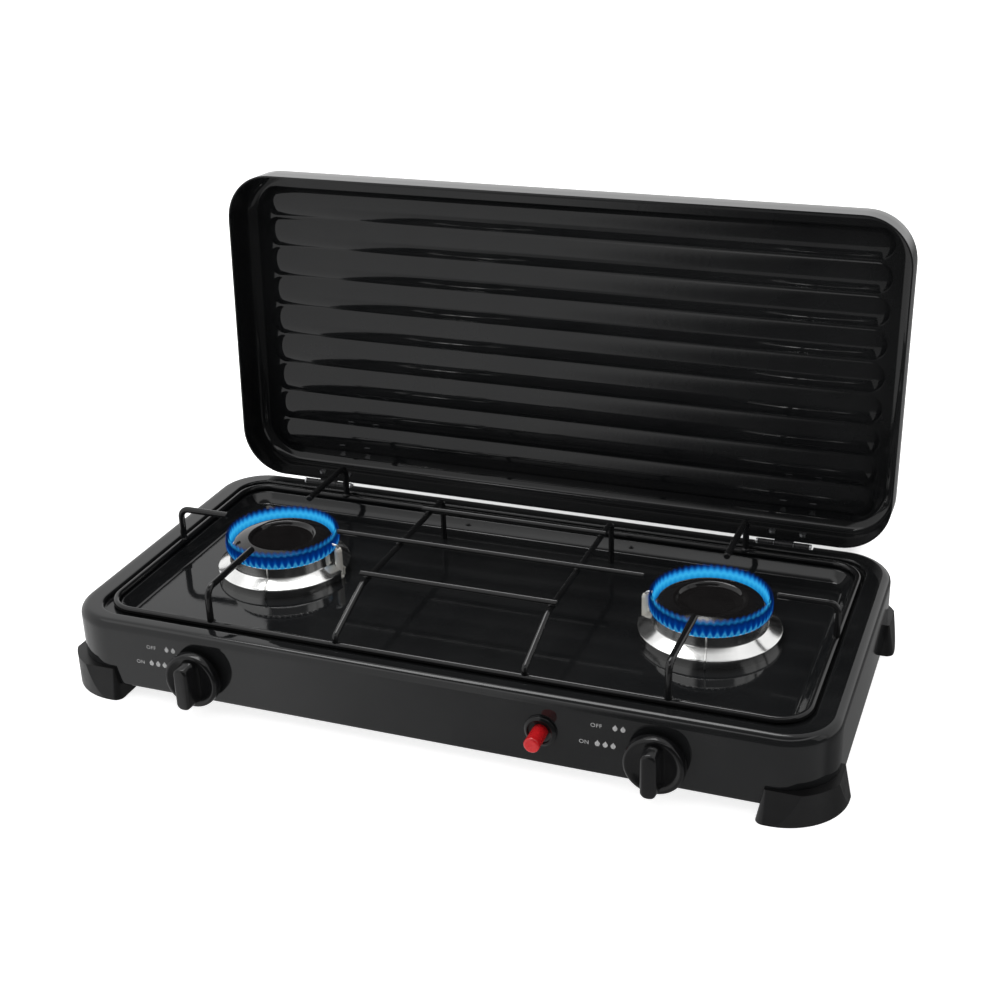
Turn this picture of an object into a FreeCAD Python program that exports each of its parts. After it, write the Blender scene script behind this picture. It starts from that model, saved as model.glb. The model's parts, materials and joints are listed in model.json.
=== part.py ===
import FreeCAD, Part
import math
import os
import Sketcher
from FreeCAD import Vector, Placement, Rotation

# Two-burner table-top gas cooker with a hinged, fluted lid.
# +X to the user's right, +Y to the back, +Z up.  The origin is the centre of
# the footprint, on the plane that the four feet stand on.  Millimetres.

doc = FreeCAD.newDocument("cooker")
sheet = doc.addObject("Spreadsheet::Sheet", "Dims")

# ---------------------------------------------------------------- dimensions
TABLE = [
    ("length_x", 565.0), ("depth_y", 276.0), ("corner_rad", 38.0),
    ("wall_bottom", 10.5), ("rim_top", 62.0), ("sheet_thick", 1.2),
    ("rim_round", 6.5), ("bottom_lip", 14.0),
    ("open_half_x", 264.0), ("open_front", 124.0), ("open_back", 121.0),
    ("open_rad", 22.0), ("ledge_level", 57.4), ("step_half_x", 255.0),
    ("step_half_y", 109.5), ("step_rad", 18.0), ("pan_level", 49.0),
    ("pan_draft", 38.0),
    ("burner_x", 170.0), ("cup_rad", 31.0), ("cup_bottom", 21.0),
    ("tube_rad", 9.0), ("tube_bore", 7.4), ("tube_level", 31.5),
    ("flange_rad", 51.5), ("head_rad", 38.5), ("cap_rad", 36.5),
    ("spark_x", 122.5),
    ("tap_level", 31.5), ("tap_rad", 9.0), ("plug_rad", 6.0),
    ("plug_bore", 6.05), ("stem_rad", 3.0), ("stem_bore", 3.05),
    ("knob_rad", 21.0), ("knob_disc", 7.5), ("knob_front", 12.5),
    ("grip_half", 6.2), ("grip_high", 16.8), ("knob_gap", 4.6),
    ("push_gap", 3.0),
    ("spark_button_x", 90.0), ("spark_button_level", 36.5),
    ("collar_rad", 11.5), ("button_rad", 5.5), ("button_out", 20.0),
    ("button_bore", 5.6),
    ("wire_big", 2.5), ("wire_small", 2.2), ("grid_half_x", 259.5),
    ("grid_half_y", 114.0), ("grid_base", 60.0), ("grid_level", 88.0),
    ("grid_round", 22.0), ("finger_bend", 7.0), ("tip_gap", 47.0),
    ("cross_x", 70.5), ("long_half", 75.5), ("long_y", 57.5),
    ("lid_len_x", 551.0), ("lid_len_y", 257.0), ("lid_round", 38.0),
    ("lid_depth", 33.5), ("lid_sheet", 1.2), ("lid_edge", 10.0),
    ("lid_rear", 129.0), ("lid_level", 62.8), ("lid_open", 93.0),
    ("rib_pitch", 25.4), ("rib_half_x", 258.5), ("rib_half_y", 11.6),
    ("rib_deep", 3.5), ("rib_draft", 38.0),
    ("hinge_x", 196.0), ("hinge_y", 131.8), ("hinge_level", 61.8),
    ("barrel_rad", 2.5), ("pin_rad", 1.45), ("pin_bore", 1.5),
    ("leaf_half", 20.0), ("leaf_thick", 1.0), ("notch_half", 23.0),
    ("foot_high", 24.0), ("foot_reach", 47.0), ("foot_out", 7.0),
    ("foot_draft", 11.0),
    ("pipe_rad", 4.5), ("pipe_level", 17.5), ("pipe_y", 116.0),
    ("inlet_x", 214.0), ("inlet_rad", 5.0),
]
VAL = {}
for row, (name, value) in enumerate(TABLE, start=1):
    cell = "A%d" % row
    sheet.set(cell, "%g" % value)
    sheet.setAlias(cell, name)
    VAL[name] = value
doc.recompute()


class Q:
    """A number together with the sheet formula that gives it."""

    def __init__(self, val, txt):
        self.val = float(val)
        self.txt = txt

    def _up(self, o):
        return o if isinstance(o, Q) else Q(o, "%.6f" % float(o))

    def _mix(self, a, b, val, op):
        return Q(val, "(%s %s %s)" % (a.txt, op, b.txt))

    def __add__(self, o):
        o = self._up(o)
        return self._mix(self, o, self.val + o.val, "+")

    def __radd__(self, o):
        o = self._up(o)
        return self._mix(o, self, self.val + o.val, "+")

    def __sub__(self, o):
        o = self._up(o)
        return self._mix(self, o, self.val - o.val, "-")

    def __rsub__(self, o):
        o = self._up(o)
        return self._mix(o, self, o.val - self.val, "-")

    def __mul__(self, o):
        o = self._up(o)
        return self._mix(self, o, self.val * o.val, "*")

    def __rmul__(self, o):
        return self.__mul__(o)

    def __truediv__(self, o):
        o = self._up(o)
        return self._mix(self, o, self.val / o.val, "/")

    def __neg__(self):
        return Q(-self.val, "(0 - %s)" % self.txt)


def D(name):
    return Q(VAL[name], "Dims.%s" % name)


def num(v):
    return v.val if isinstance(v, Q) else float(v)


def bind(obj, prop, v):
    if isinstance(v, Q):
        obj.setExpression(prop, v.txt)


NODES = []


def keep(obj, label):
    obj.Label = label
    NODES.append((label, obj))
    return obj


def place(obj, x=0.0, y=0.0, z=0.0, rot=None):
    obj.Placement = Placement(Vector(num(x), num(y), num(z)), rot or Rotation())
    for k, v in (("x", x), ("y", y), ("z", z)):
        bind(obj, ".Placement.Base.%s" % k, v)
    return obj


# ------------------------------------------------------------ sketch helpers
def new_body(name):
    return doc.addObject("PartDesign::Body", name)


def origin_plane(body, role):
    for f in body.Origin.OriginFeatures:
        if f.Role == role:
            return f
    raise RuntimeError(role)


class Sk:
    """A sketch on one of its body's own origin planes, shifted by off."""

    def __init__(self, body, role, off=0.0):
        self.body = body
        self.o = body.newObject("Sketcher::SketchObject", body.Name + "_sketch")
        self.o.AttachmentSupport = (origin_plane(body, role), [""])
        self.o.MapMode = "FlatFace"
        self.o.AttachmentOffset = Placement(Vector(0, 0, num(off)), Rotation())
        bind(self.o, ".AttachmentOffset.Base.z", off)
        self.n = 0

    def con(self, *a):
        q = a[-1]
        if isinstance(q, Q):
            i = self.o.addConstraint(Sketcher.Constraint(*(a[:-1] + (q.val,))))
            self.n += 1
            nm = "d%d" % self.n
            self.o.renameConstraint(i, nm)
            self.o.setExpression("Constraints.%s" % nm, q.txt)
        else:
            self.o.addConstraint(Sketcher.Constraint(*a))

    def point(self, g, pos, x, y):
        self.con("DistanceX", -1, 1, g, pos, x if isinstance(x, Q) else float(x))
        self.con("DistanceY", -1, 1, g, pos, y if isinstance(y, Q) else float(y))

    def circle(self, x, y, r):
        g = self.o.addGeometry(Part.Circle(Vector(num(x), num(y), 0),
                                           Vector(0, 0, 1), num(r)), False)
        self.point(g, 3, x, y)
        self.con("Radius", g, r if isinstance(r, Q) else float(r))
        return self

    def poly(self, pts):
        first = None
        n = len(pts)
        ids = []
        for i in range(n):
            a, b = pts[i], pts[(i + 1) % n]
            ids.append(self.o.addGeometry(Part.LineSegment(
                Vector(num(a[0]), num(a[1]), 0), Vector(num(b[0]), num(b[1]), 0)), False))
        for i in range(n):
            self.o.addConstraint(Sketcher.Constraint("Coincident", ids[i], 2, ids[(i + 1) % n], 1))
        for i in range(n):
            self.point(ids[i], 1, pts[i][0], pts[i][1])
        return self

    def rect(self, x0, y0, x1, y1):
        return self.poly([(x0, y0), (x1, y0), (x1, y1), (x0, y1)])

    def rrect(self, x0, y0, x1, y1, r):
        """Rounded rectangle, corners x0,y0 to x1,y1, corner radius r."""
        a0, b0, a1, b1, q = num(x0), num(y0), num(x1), num(y1), num(r)
        V = lambda x, y: Vector(x, y, 0)
        L = [self.o.addGeometry(Part.LineSegment(p, s), False) for p, s in (
            (V(a0 + q, b0), V(a1 - q, b0)), (V(a1, b0 + q), V(a1, b1 - q)),
            (V(a1 - q, b1), V(a0 + q, b1)), (V(a0, b1 - q), V(a0, b0 + q)))]
        A = [self.o.addGeometry(Part.ArcOfCircle(Part.Circle(V(cx, cy), Vector(0, 0, 1), q),
                                                 s, e), False) for cx, cy, s, e in (
            (a1 - q, b0 + q, -math.pi / 2, 0), (a1 - q, b1 - q, 0, math.pi / 2),
            (a0 + q, b1 - q, math.pi / 2, math.pi), (a0 + q, b0 + q, math.pi, 1.5 * math.pi))]
        for i in range(4):
            self.o.addConstraint(Sketcher.Constraint("Tangent", L[i], 2, A[i], 1))
            self.o.addConstraint(Sketcher.Constraint("Tangent", A[i], 2, L[(i + 1) % 4], 1))
        self.o.addConstraint(Sketcher.Constraint("Horizontal", L[0]))
        self.o.addConstraint(Sketcher.Constraint("Vertical", L[1]))
        self.o.addConstraint(Sketcher.Constraint("Horizontal", L[2]))
        self.o.addConstraint(Sketcher.Constraint("Vertical", L[3]))
        for i in (1, 2, 3):
            self.o.addConstraint(Sketcher.Constraint("Equal", A[0], A[i]))
        self.con("Radius", A[0], r if isinstance(r, Q) else q)
        f = lambda v: v if isinstance(v, Q) else float(v)
        self.con("DistanceX", -1, 1, L[3], 1, f(x0))
        self.con("DistanceX", -1, 1, L[1], 1, f(x1))
        self.con("DistanceY", -1, 1, L[0], 1, f(y0))
        self.con("DistanceY", -1, 1, L[2], 1, f(y1))
        return self

    def path(self, pts, radii):
        """Open chain of straight runs joined by tangent arcs at the inner points."""
        P = [Vector(num(x), num(y), 0) for x, y in pts]
        segs = []
        start = P[0]
        arcs = []
        for i in range(1, len(P) - 1):
            a = (P[i - 1] - P[i]).normalize()
            b = (P[i + 1] - P[i]).normalize()
            half = math.acos(max(-1, min(1, a.dot(b)))) / 2
            r = num(radii[i - 1])
            tl = r / math.tan(half)
            t1, t2 = P[i] + a * tl, P[i] + b * tl
            c = P[i] + (a + b).normalize() * (r / math.sin(half))
            segs.append((start, t1))
            arcs.append((c, r, t1, t2))
            start = t2
        segs.append((start, P[-1]))
        gl = []
        for k, (p, s) in enumerate(segs):
            gl.append(self.o.addGeometry(Part.LineSegment(p, s), False))
            if k < len(arcs):
                c, r, t1, t2 = arcs[k]
                u1 = math.atan2(t1.y - c.y, t1.x - c.x)
                u2 = math.atan2(t2.y - c.y, t2.x - c.x)
                turn = (t1 - c).cross(t2 - c).z
                if turn > 0:
                    g = self.o.addGeometry(Part.ArcOfCircle(
                        Part.Circle(c, Vector(0, 0, 1), r), u1, u2), False)
                    gl.append((g, 1, 2))
                else:
                    g = self.o.addGeometry(Part.ArcOfCircle(
                        Part.Circle(c, Vector(0, 0, 1), r), u2, u1), False)
                    gl.append((g, 2, 1))
        lines = [g for g in gl if not isinstance(g, tuple)]
        bends = [g for g in gl if isinstance(g, tuple)]
        for k, (g, s, e) in enumerate(bends):
            self.o.addConstraint(Sketcher.Constraint("Tangent", lines[k], 2, g, s))
            self.o.addConstraint(Sketcher.Constraint("Tangent", g, e, lines[k + 1], 1))
            self.con("Radius", g, radii[k] if isinstance(radii[k], Q) else float(radii[k]))
        self.point(lines[0], 1, pts[0][0], pts[0][1])
        self.point(lines[-1], 2, pts[-1][0], pts[-1][1])
        for k in range(1, len(lines) - 1):
            for pt in (pts[k], pts[k + 1]):
                g = self.o.addGeometry(Part.Point(Vector(num(pt[0]), num(pt[1]), 0)), True)
                self.point(g, 1, pt[0], pt[1])
                self.o.addConstraint(Sketcher.Constraint("PointOnObject", g, 1, lines[k]))
        if len(lines) == 2:
            g = self.o.addGeometry(Part.Point(Vector(num(pts[1][0]), num(pts[1][1]), 0)), True)
            self.point(g, 1, pts[1][0], pts[1][1])
            self.o.addConstraint(Sketcher.Constraint("PointOnObject", g, 1, lines[0]))
            self.o.addConstraint(Sketcher.Constraint("PointOnObject", g, 1, lines[1]))
        return self


def volume(body):
    return body.Shape.Volume if not body.Shape.isNull() else 0.0


def step(body, f, what, sign):
    before = getattr(body, "Shape", None)
    v0 = before.Volume if before is not None and not before.isNull() else 0.0
    doc.recompute()
    v1 = volume(body)
    if sign * (v1 - v0) <= 1e-3:
        raise RuntimeError("%s on %s changed nothing (%.3f to %.3f)" % (what, body.Name, v0, v1))
    return f


def pad(sk, length, reverse=False, mid=False, taper=None):
    f = sk.body.newObject("PartDesign::Pad", sk.body.Name + "_pad")
    f.Profile = sk.o
    f.Length = num(length)
    bind(f, "Length", length)
    f.Reversed = reverse
    f.Midplane = mid
    if taper is not None:
        f.TaperAngle = num(taper)
        bind(f, "TaperAngle", taper)
    return step(sk.body, f, "pad", 1)


def cut(sk, length=None, reverse=False, mid=False, taper=None):
    f = sk.body.newObject("PartDesign::Pocket", sk.body.Name + "_pocket")
    f.Profile = sk.o
    if length is None:
        f.Type = 1
    else:
        f.Length = num(length)
        bind(f, "Length", length)
    f.Reversed = reverse
    f.Midplane = mid
    if taper is not None:
        f.TaperAngle = num(taper)
        bind(f, "TaperAngle", taper)
    return step(sk.body, f, "pocket", -1)


def turn(sk, axis="V_Axis", groove=False):
    kind = "PartDesign::Groove" if groove else "PartDesign::Revolution"
    f = sk.body.newObject(kind, sk.body.Name + "_turn")
    f.Profile = sk.o
    f.ReferenceAxis = (sk.o, [axis])
    f.Angle = 360.0
    return step(sk.body, f, "turn", -1 if groove else 1)


def pattern_linear(body, feats, role, length, count):
    f = body.newObject("PartDesign::LinearPattern", body.Name + "_row")
    f.Originals = feats
    f.Direction = (origin_axis(body, role), [""])
    f.Length = num(length)
    bind(f, "Length", length)
    f.Occurrences = count
    body.Tip = f
    return f


def origin_axis(body, role):
    for f in body.Origin.OriginFeatures:
        if f.Role == role:
            return f
    raise RuntimeError(role)


def pattern_polar(body, feats, role, count, angle=360.0):
    f = body.newObject("PartDesign::PolarPattern", body.Name + "_ring")
    f.Originals = feats
    f.Axis = (origin_axis(body, role), [""])
    f.Angle = angle
    f.Occurrences = count
    body.Tip = f
    return f


def edges_where(shape, test):
    out = []
    for i, e in enumerate(shape.Edges, start=1):
        pts = [e.valueAt(e.FirstParameter + (e.LastParameter - e.FirstParameter) * k / 4.0)
               for k in range(5)]
        if all(test(p) for p in pts):
            out.append("Edge%d" % i)
    return out


def fillet(body, test, radius, kind="Fillet"):
    doc.recompute()
    tip = body.Tip
    names = edges_where(tip.Shape, test)
    if not names:
        raise RuntimeError("no edge to round on " + body.Name)
    f = body.newObject("PartDesign::" + kind, body.Name + "_" + kind.lower())
    f.Base = (tip, names)
    prop = "Radius" if kind == "Fillet" else "Size"
    setattr(f, prop, num(radius))
    bind(f, prop, radius)
    doc.recompute()
    if "Invalid" in f.State or "Error" in f.State or f.Shape.isNull() or not f.Shape.isValid():
        raise RuntimeError("round failed on " + body.Name)
    return f


def near(a, b, tol=0.05):
    return abs(a - b) < tol


def cyl(name, x, y, z, r, length, axis="z"):
    """A cylinder whose base centre is x, y, z and which grows along +axis."""
    c = doc.addObject("Part::Cylinder", name)
    c.Radius = num(r)
    bind(c, "Radius", r)
    c.Height = num(length)
    bind(c, "Height", length)
    rot = {"z": Rotation(), "x": Rotation(Vector(0, 1, 0), 90),
           "y": Rotation(Vector(1, 0, 0), -90)}[axis]
    return place(c, x, y, z, rot)


def box(name, x, y, z, lx, ly, lz):
    b = doc.addObject("Part::Box", name)
    for prop, v in (("Length", lx), ("Width", ly), ("Height", lz)):
        setattr(b, prop, num(v))
        bind(b, prop, v)
    return place(b, x, y, z)


def fuse(name, items):
    f = doc.addObject("Part::MultiFuse", name)
    f.Shapes = items
    return f


def sub(name, base, tool):
    f = doc.addObject("Part::Cut", name)
    f.Base = base
    f.Tool = tool
    return f


# --------------------------------------------------------------- pressed body
hx, hy = D("length_x") / 2, D("depth_y") / 2
th = D("sheet_thick")
ztop, zlow = D("rim_top"), D("wall_bottom")
bx = D("burner_x")
R0 = D("corner_rad")

shell = new_body("body_shell")
pad(Sk(shell, "XY_Plane", zlow).rrect(-hx, -hy, hx, hy, R0), ztop - zlow)
fillet(shell, lambda p: near(p.z, VAL["rim_top"]), D("rim_round"))
# the well: an upper step that the wire grid stands on, then the sloping wall
# down to the floor
cut(Sk(shell, "XY_Plane", ztop).rrect(-D("open_half_x"), -D("open_front"), D("open_half_x"),
                                      D("open_back"), D("open_rad")), ztop - D("ledge_level"))
cut(Sk(shell, "XY_Plane", D("ledge_level")).rrect(-D("step_half_x"), -D("step_half_y"),
                                                  D("step_half_x"), D("step_half_y"), D("step_rad")),
    D("ledge_level") - D("pan_level"), taper=-D("pan_draft"))
# the hollow underneath, leaving one sheet thickness everywhere
under = D("pan_level") - th
cut(Sk(shell, "XY_Plane", zlow).rrect(-(hx - D("bottom_lip")), -(hy - D("bottom_lip")),
                                      hx - D("bottom_lip"), hy - D("bottom_lip"),
                                      R0 - D("bottom_lip")), th, reverse=True)
cut(Sk(shell, "XY_Plane", zlow + th).rrect(-(hx - th), -(hy - th), hx - th, hy - th, R0 - th),
    under - zlow - th, reverse=True)
# rings of space behind the ledge wall and under the rim
ring = Sk(shell, "XY_Plane", under)
ring.rrect(-(hx - th), -(hy - th), hx - th, hy - th, R0 - th)
ring.rrect(-(D("step_half_x") + th), -(D("step_half_y") + th), D("step_half_x") + th,
           D("step_half_y") + th, D("step_rad") + th)
cut(ring, D("ledge_level") - th - under, reverse=True)
ring = Sk(shell, "XY_Plane", D("ledge_level") - th)
ring.rrect(-(hx - th - 1.5), -(hy - th - 1.5), hx - th - 1.5, hy - th - 1.5, R0 - th - 1.5)
ring.rrect(-(D("open_half_x") + th), -(D("open_front") + th), D("open_half_x") + th,
           D("open_back") + th, D("open_rad") + th)
cut(ring, ztop - D("ledge_level"), reverse=True)
# hinge notches through the back of the rim
for sgn in (-1, 1):
    cx = sgn * D("hinge_x")
    cut(Sk(shell, "XY_Plane", ztop).rect(cx - D("notch_half"), D("hinge_y") - 4.0,
                                         cx + D("notch_half"), hy + 1.0), 4.8)
# holes in the floor: each burner's throat, its spark pin and its two fixing screws
holes = Sk(shell, "XY_Plane", D("pan_level"))
for sgn in (-1, 1):
    holes.circle(sgn * bx, 0, 27.0)
    holes.circle(sgn * D("spark_x"), 0, 3.6)
    for dy in (-39.0, 39.0):
        holes.circle(sgn * bx, dy, 1.7)
cut(holes, th + 0.5)
# holes in the front wall: stems and igniter neck
front = Sk(shell, "XZ_Plane", hy)
for sgn in (-1, 1):
    front.circle(sgn * bx, D("tap_level"), 4.0)
    for dx in (-13.0, 13.0):
        front.circle(sgn * bx + dx, D("tap_level"), 1.6)
front.circle(D("spark_button_x"), D("spark_button_level"), 8.6)
cut(front, th + 1.0)
# holes in the back wall: gas inlet and hinge rivets
back = Sk(shell, "XZ_Plane", -hy)
back.circle(D("inlet_x"), D("pipe_level"), D("inlet_rad") + 0.1)
for sgn in (-1, 1):
    for dx in (-12.0, 12.0):
        back.circle(sgn * D("hinge_x") + dx, 44.0, 1.6)
cut(back, th + 1.0, reverse=True)
# foot screws through the bottom lip
lip = Sk(shell, "XY_Plane", zlow)
for sx in (-1, 1):
    for sy in (-1, 1):
        lip.circle(sx * (hx - 38.0), sy * (hy - 7.0), 1.6)
cut(lip, th + 0.2, reverse=True)
keep(shell, "body_shell")


# ----------------------------------------------------------------------- feet
def foot(name, sx, sy):
    b = new_body(name)
    e = D("foot_out")
    # corner block: the outer outline is the body's outline moved out
    s = Sk(b, "XY_Plane")
    x0, x1 = hx - D("foot_reach"), hx + e
    y0, y1 = hy - D("foot_reach"), hy + e
    s.rrect(x0, y0, x1, y1, 6.0)
    pad(s, D("foot_high"), taper=-D("foot_draft"))
    # round the outer corner: cut everything outside a large arc block
    s = Sk(b, "XY_Plane", -0.5)
    s.rrect(x0 - 80.0, y0 - 80.0, x1 + 60.0, y1 + 60.0, 4.0)
    s.rrect(x0 - 60.0, y0 - 60.0, x1, y1, R0 + e)
    cut(s, D("foot_high") + 1.0, reverse=True, taper=None)
    # pocket for the body's corner and the open inside of the block
    s = Sk(b, "XY_Plane", zlow)
    s.rrect(x0 - 60.0, y0 - 60.0, hx + 0.0, hy + 0.0, R0)
    cut(s, D("foot_high"), reverse=True)
    s = Sk(b, "XY_Plane", 0.0)
    s.rrect(x0 - 30.0, y0 - 30.0, hx - D("bottom_lip") - 1.0, hy - D("bottom_lip") - 1.0,
            R0 - D("bottom_lip") - 1.0)
    cut(s, zlow + 1.0, reverse=True)
    # screw hole and the head's recess
    s = Sk(b, "XY_Plane", 0.0)
    s.circle(hx - 38.0, hy - 7.0, 1.6)
    cut(s, zlow + 1.0, reverse=True)
    s = Sk(b, "XY_Plane", 0.0)
    s.circle(hx - 38.0, hy - 7.0, 3.6)
    cut(s, 4.0, reverse=True)
    rot = {(1, 1): 0, (-1, 1): 90, (-1, -1): 180, (1, -1): 270}[(sx, sy)]
    return b, rot


def mirror_feature(name, src, sx, sy):
    """A mirrored copy of a shape across the X and Y planes."""
    f = doc.addObject("Part::Feature", name)
    shp = src.Shape.copy()
    if sx < 0:
        shp = shp.mirror(Vector(0, 0, 0), Vector(1, 0, 0))
    if sy < 0:
        shp = shp.mirror(Vector(0, 0, 0), Vector(0, 1, 0))
    f.Shape = shp
    place(f, 0.0, 0.0, 0.0)
    return f


f_rr, _ = foot("foot_rear_right", 1, 1)
doc.recompute()
keep(f_rr, "foot_rear_right")
for nm, sx, sy in (("foot_rear_left", -1, 1), ("foot_front_left", -1, -1),
                   ("foot_front_right", 1, -1)):
    keep(mirror_feature(nm, f_rr, sx, sy), nm)

screws = []
for sx in (-1, 1):
    for sy in (-1, 1):
        x, y = sx * (hx - 38.0), sy * (hy - 7.0)
        screws.append(cyl("foot_screw_shank", x, y, 3.0, 1.5, zlow + 1.5))
        screws.append(cyl("foot_screw_head", x, y, 1.4, 3.2, 2.5))
keep(fuse("foot_screws", screws), "foot_screws")


# --------------------------------------------------------------------- burners
def burner(side, sgn):
    cx = sgn * bx
    # cast mixing cup under the floor with its mixing tube running forward
    b = new_body("burner_cup_" + side)
    s = Sk(b, "XZ_Plane")
    R, zb, zt = D("cup_rad"), D("cup_bottom"), under
    s.poly([(0.0, zb), (R - 8.0, zb), (R, zb + 8.0), (R, zt - 3.0), (R + 12.0, zt - 3.0),
            (R + 12.0, zt), (26.0, zt), (26.0, zb + 9.0), (20.0, zb + 3.0), (0.0, zb + 3.0)])
    turn(s)
    s = Sk(b, "XZ_Plane", 20.0)
    s.circle(0.0, D("tube_level"), D("tube_rad"))
    pad(s, 62.0)
    s = Sk(b, "XZ_Plane", 22.0)
    s.circle(0.0, D("tube_level"), D("tube_bore"))
    cut(s, 70.0, reverse=True)
    s = Sk(b, "XY_Plane", zt)
    s.circle(0.0, -39.0, 1.25)
    s.circle(0.0, 39.0, 1.25)
    cut(s, 3.2)
    place(b, cx)
    keep(b, "burner_cup_" + side)

    # polished ring: foot and neck on the floor, outer skirt, cone, upright collar
    b = new_body("burner_ring_" + side)
    s = Sk(b, "XZ_Plane")
    F, z0 = D("flange_rad"), D("pan_level")
    s.poly([(26.8, z0), (43.0, z0), (43.0, z0 + 1.5), (36.2, z0 + 1.5), (36.2, z0 + 12.4),
            (39.6, z0 + 11.2), (49.3, z0 + 6.4), (49.3, z0 + 0.05), (50.5, z0 + 0.05),
            (50.6, z0 + 5.8), (F, z0 + 6.4), (F, z0 + 7.2), (41.7, z0 + 12.2),
            (41.4, z0 + 20.0), (40.9, z0 + 20.5), (39.7, z0 + 20.5), (39.5, z0 + 16.5),
            (35.5, z0 + 16.5), (35.5, z0 + 11.0), (30.0, z0 + 11.0), (30.0, z0 + 1.5),
            (26.8, z0 + 1.5)])
    turn(s)
    # notch that the spark pin's insulator stands in
    s = Sk(b, "XY_Plane", z0 + 14.5)
    if sgn < 0:
        s.rrect(43.9, -3.6, 56.0, 3.6, 3.5)
    else:
        s.rrect(-56.0, -3.6, -43.9, 3.6, 3.5)
    cut(s, 15.0)
    # holes for the fixing screws through the foot
    s = Sk(b, "XY_Plane", z0 + 1.5)
    s.circle(0.0, -39.0, 1.25)
    s.circle(0.0, 39.0, 1.25)
    cut(s, 1.5)
    place(b, cx)
    keep(b, "burner_ring_" + side)

    # port head: aluminium casting with a ring of flame slots
    b = new_body("burner_head_" + side)
    s = Sk(b, "XZ_Plane")
    H, z1 = D("head_rad"), D("pan_level") + 11.0
    s.poly([(24.0, z1), (34.5, z1), (34.5, z1 + 6.0), (H, z1 + 6.0), (H, z1 + 12.5),
            (31.0, z1 + 12.5), (31.0, z1 + 6.0), (27.0, z1 + 3.0), (24.0, z1 + 3.0)])
    turn(s)
    s = Sk(b, "XY_Plane", z1 + 12.5)
    s.rect(29.0, -0.75, 40.5, 0.75)
    f = cut(s, 4.2)
    pattern_polar(b, [f], "Z_Axis", 36)
    doc.recompute()
    place(b, cx)
    keep(b, "burner_head_" + side)

    # enamelled cap: flat ring, raised bead, shallow dish, locating skirt
    b = new_body("burner_cap_" + side)
    s = Sk(b, "XZ_Plane")
    C, z2 = D("cap_rad"), D("pan_level") + 23.6
    s.poly([(0.0, z2), (28.4, z2), (28.4, z2 - 3.0), (30.6, z2 - 3.0), (30.6, z2), (C, z2),
            (C + 1.5, z2 + 1.2), (C, z2 + 4.2), (27.0, z2 + 5.6), (24.5, z2 + 5.6),
            (22.5, z2 + 3.0), (0.0, z2 + 2.2)])
    turn(s)
    place(b, cx)
    keep(b, "burner_cap_" + side)

    # two screws tying ring, floor and cup together, under the collar
    items = []
    for dy in (-39.0, 39.0):
        items.append(cyl("cup_screw_shank", cx, dy, zt - 3.0, 1.2, th + 4.5))
        items.append(cyl("cup_screw_head", cx, dy, z0 + 1.5, 2.4, 1.3))
    return items


cup_screws = []
for side, sgn in (("left", -1), ("right", 1)):
    cup_screws += burner(side, sgn)
keep(fuse("burner_screws", cup_screws), "burner_screws")


# ------------------------------------------------------------------- spark pins
for side, sgn in (("left", -1), ("right", 1)):
    x = sgn * D("spark_x")
    b = new_body("spark_insulator_" + side)
    s = Sk(b, "XZ_Plane")
    z = D("pan_level")
    s.poly([(0.9, z - 9.0), (2.4, z - 9.0), (2.4, z - 1.6), (2.4, z - 1.4), (3.4, z - 1.4),
            (3.4, z + 1.0), (2.9, z + 1.4), (2.9, z + 22.5), (2.2, z + 24.5), (0.9, z + 24.5)])
    turn(s)
    place(b, x)
    keep(b, "spark_insulator_" + side)
    b = new_body("spark_pin_" + side)
    s = Sk(b, "XZ_Plane")
    s.path([(0.0, z - 15.0), (0.0, z + 26.5), (sgn * 5.0, z + 27.3)], [2.0])
    c = Sk(b, "XY_Plane", z - 15.0)
    c.circle(0.0, 0.0, 0.85)
    f = b.newObject("PartDesign::AdditivePipe", b.Name + "_pipe")
    f.Profile = c.o
    f.Spine = (s.o, [])
    step(b, f, "pipe", 1)
    place(b, x)
    keep(b, "spark_pin_" + side)


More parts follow.
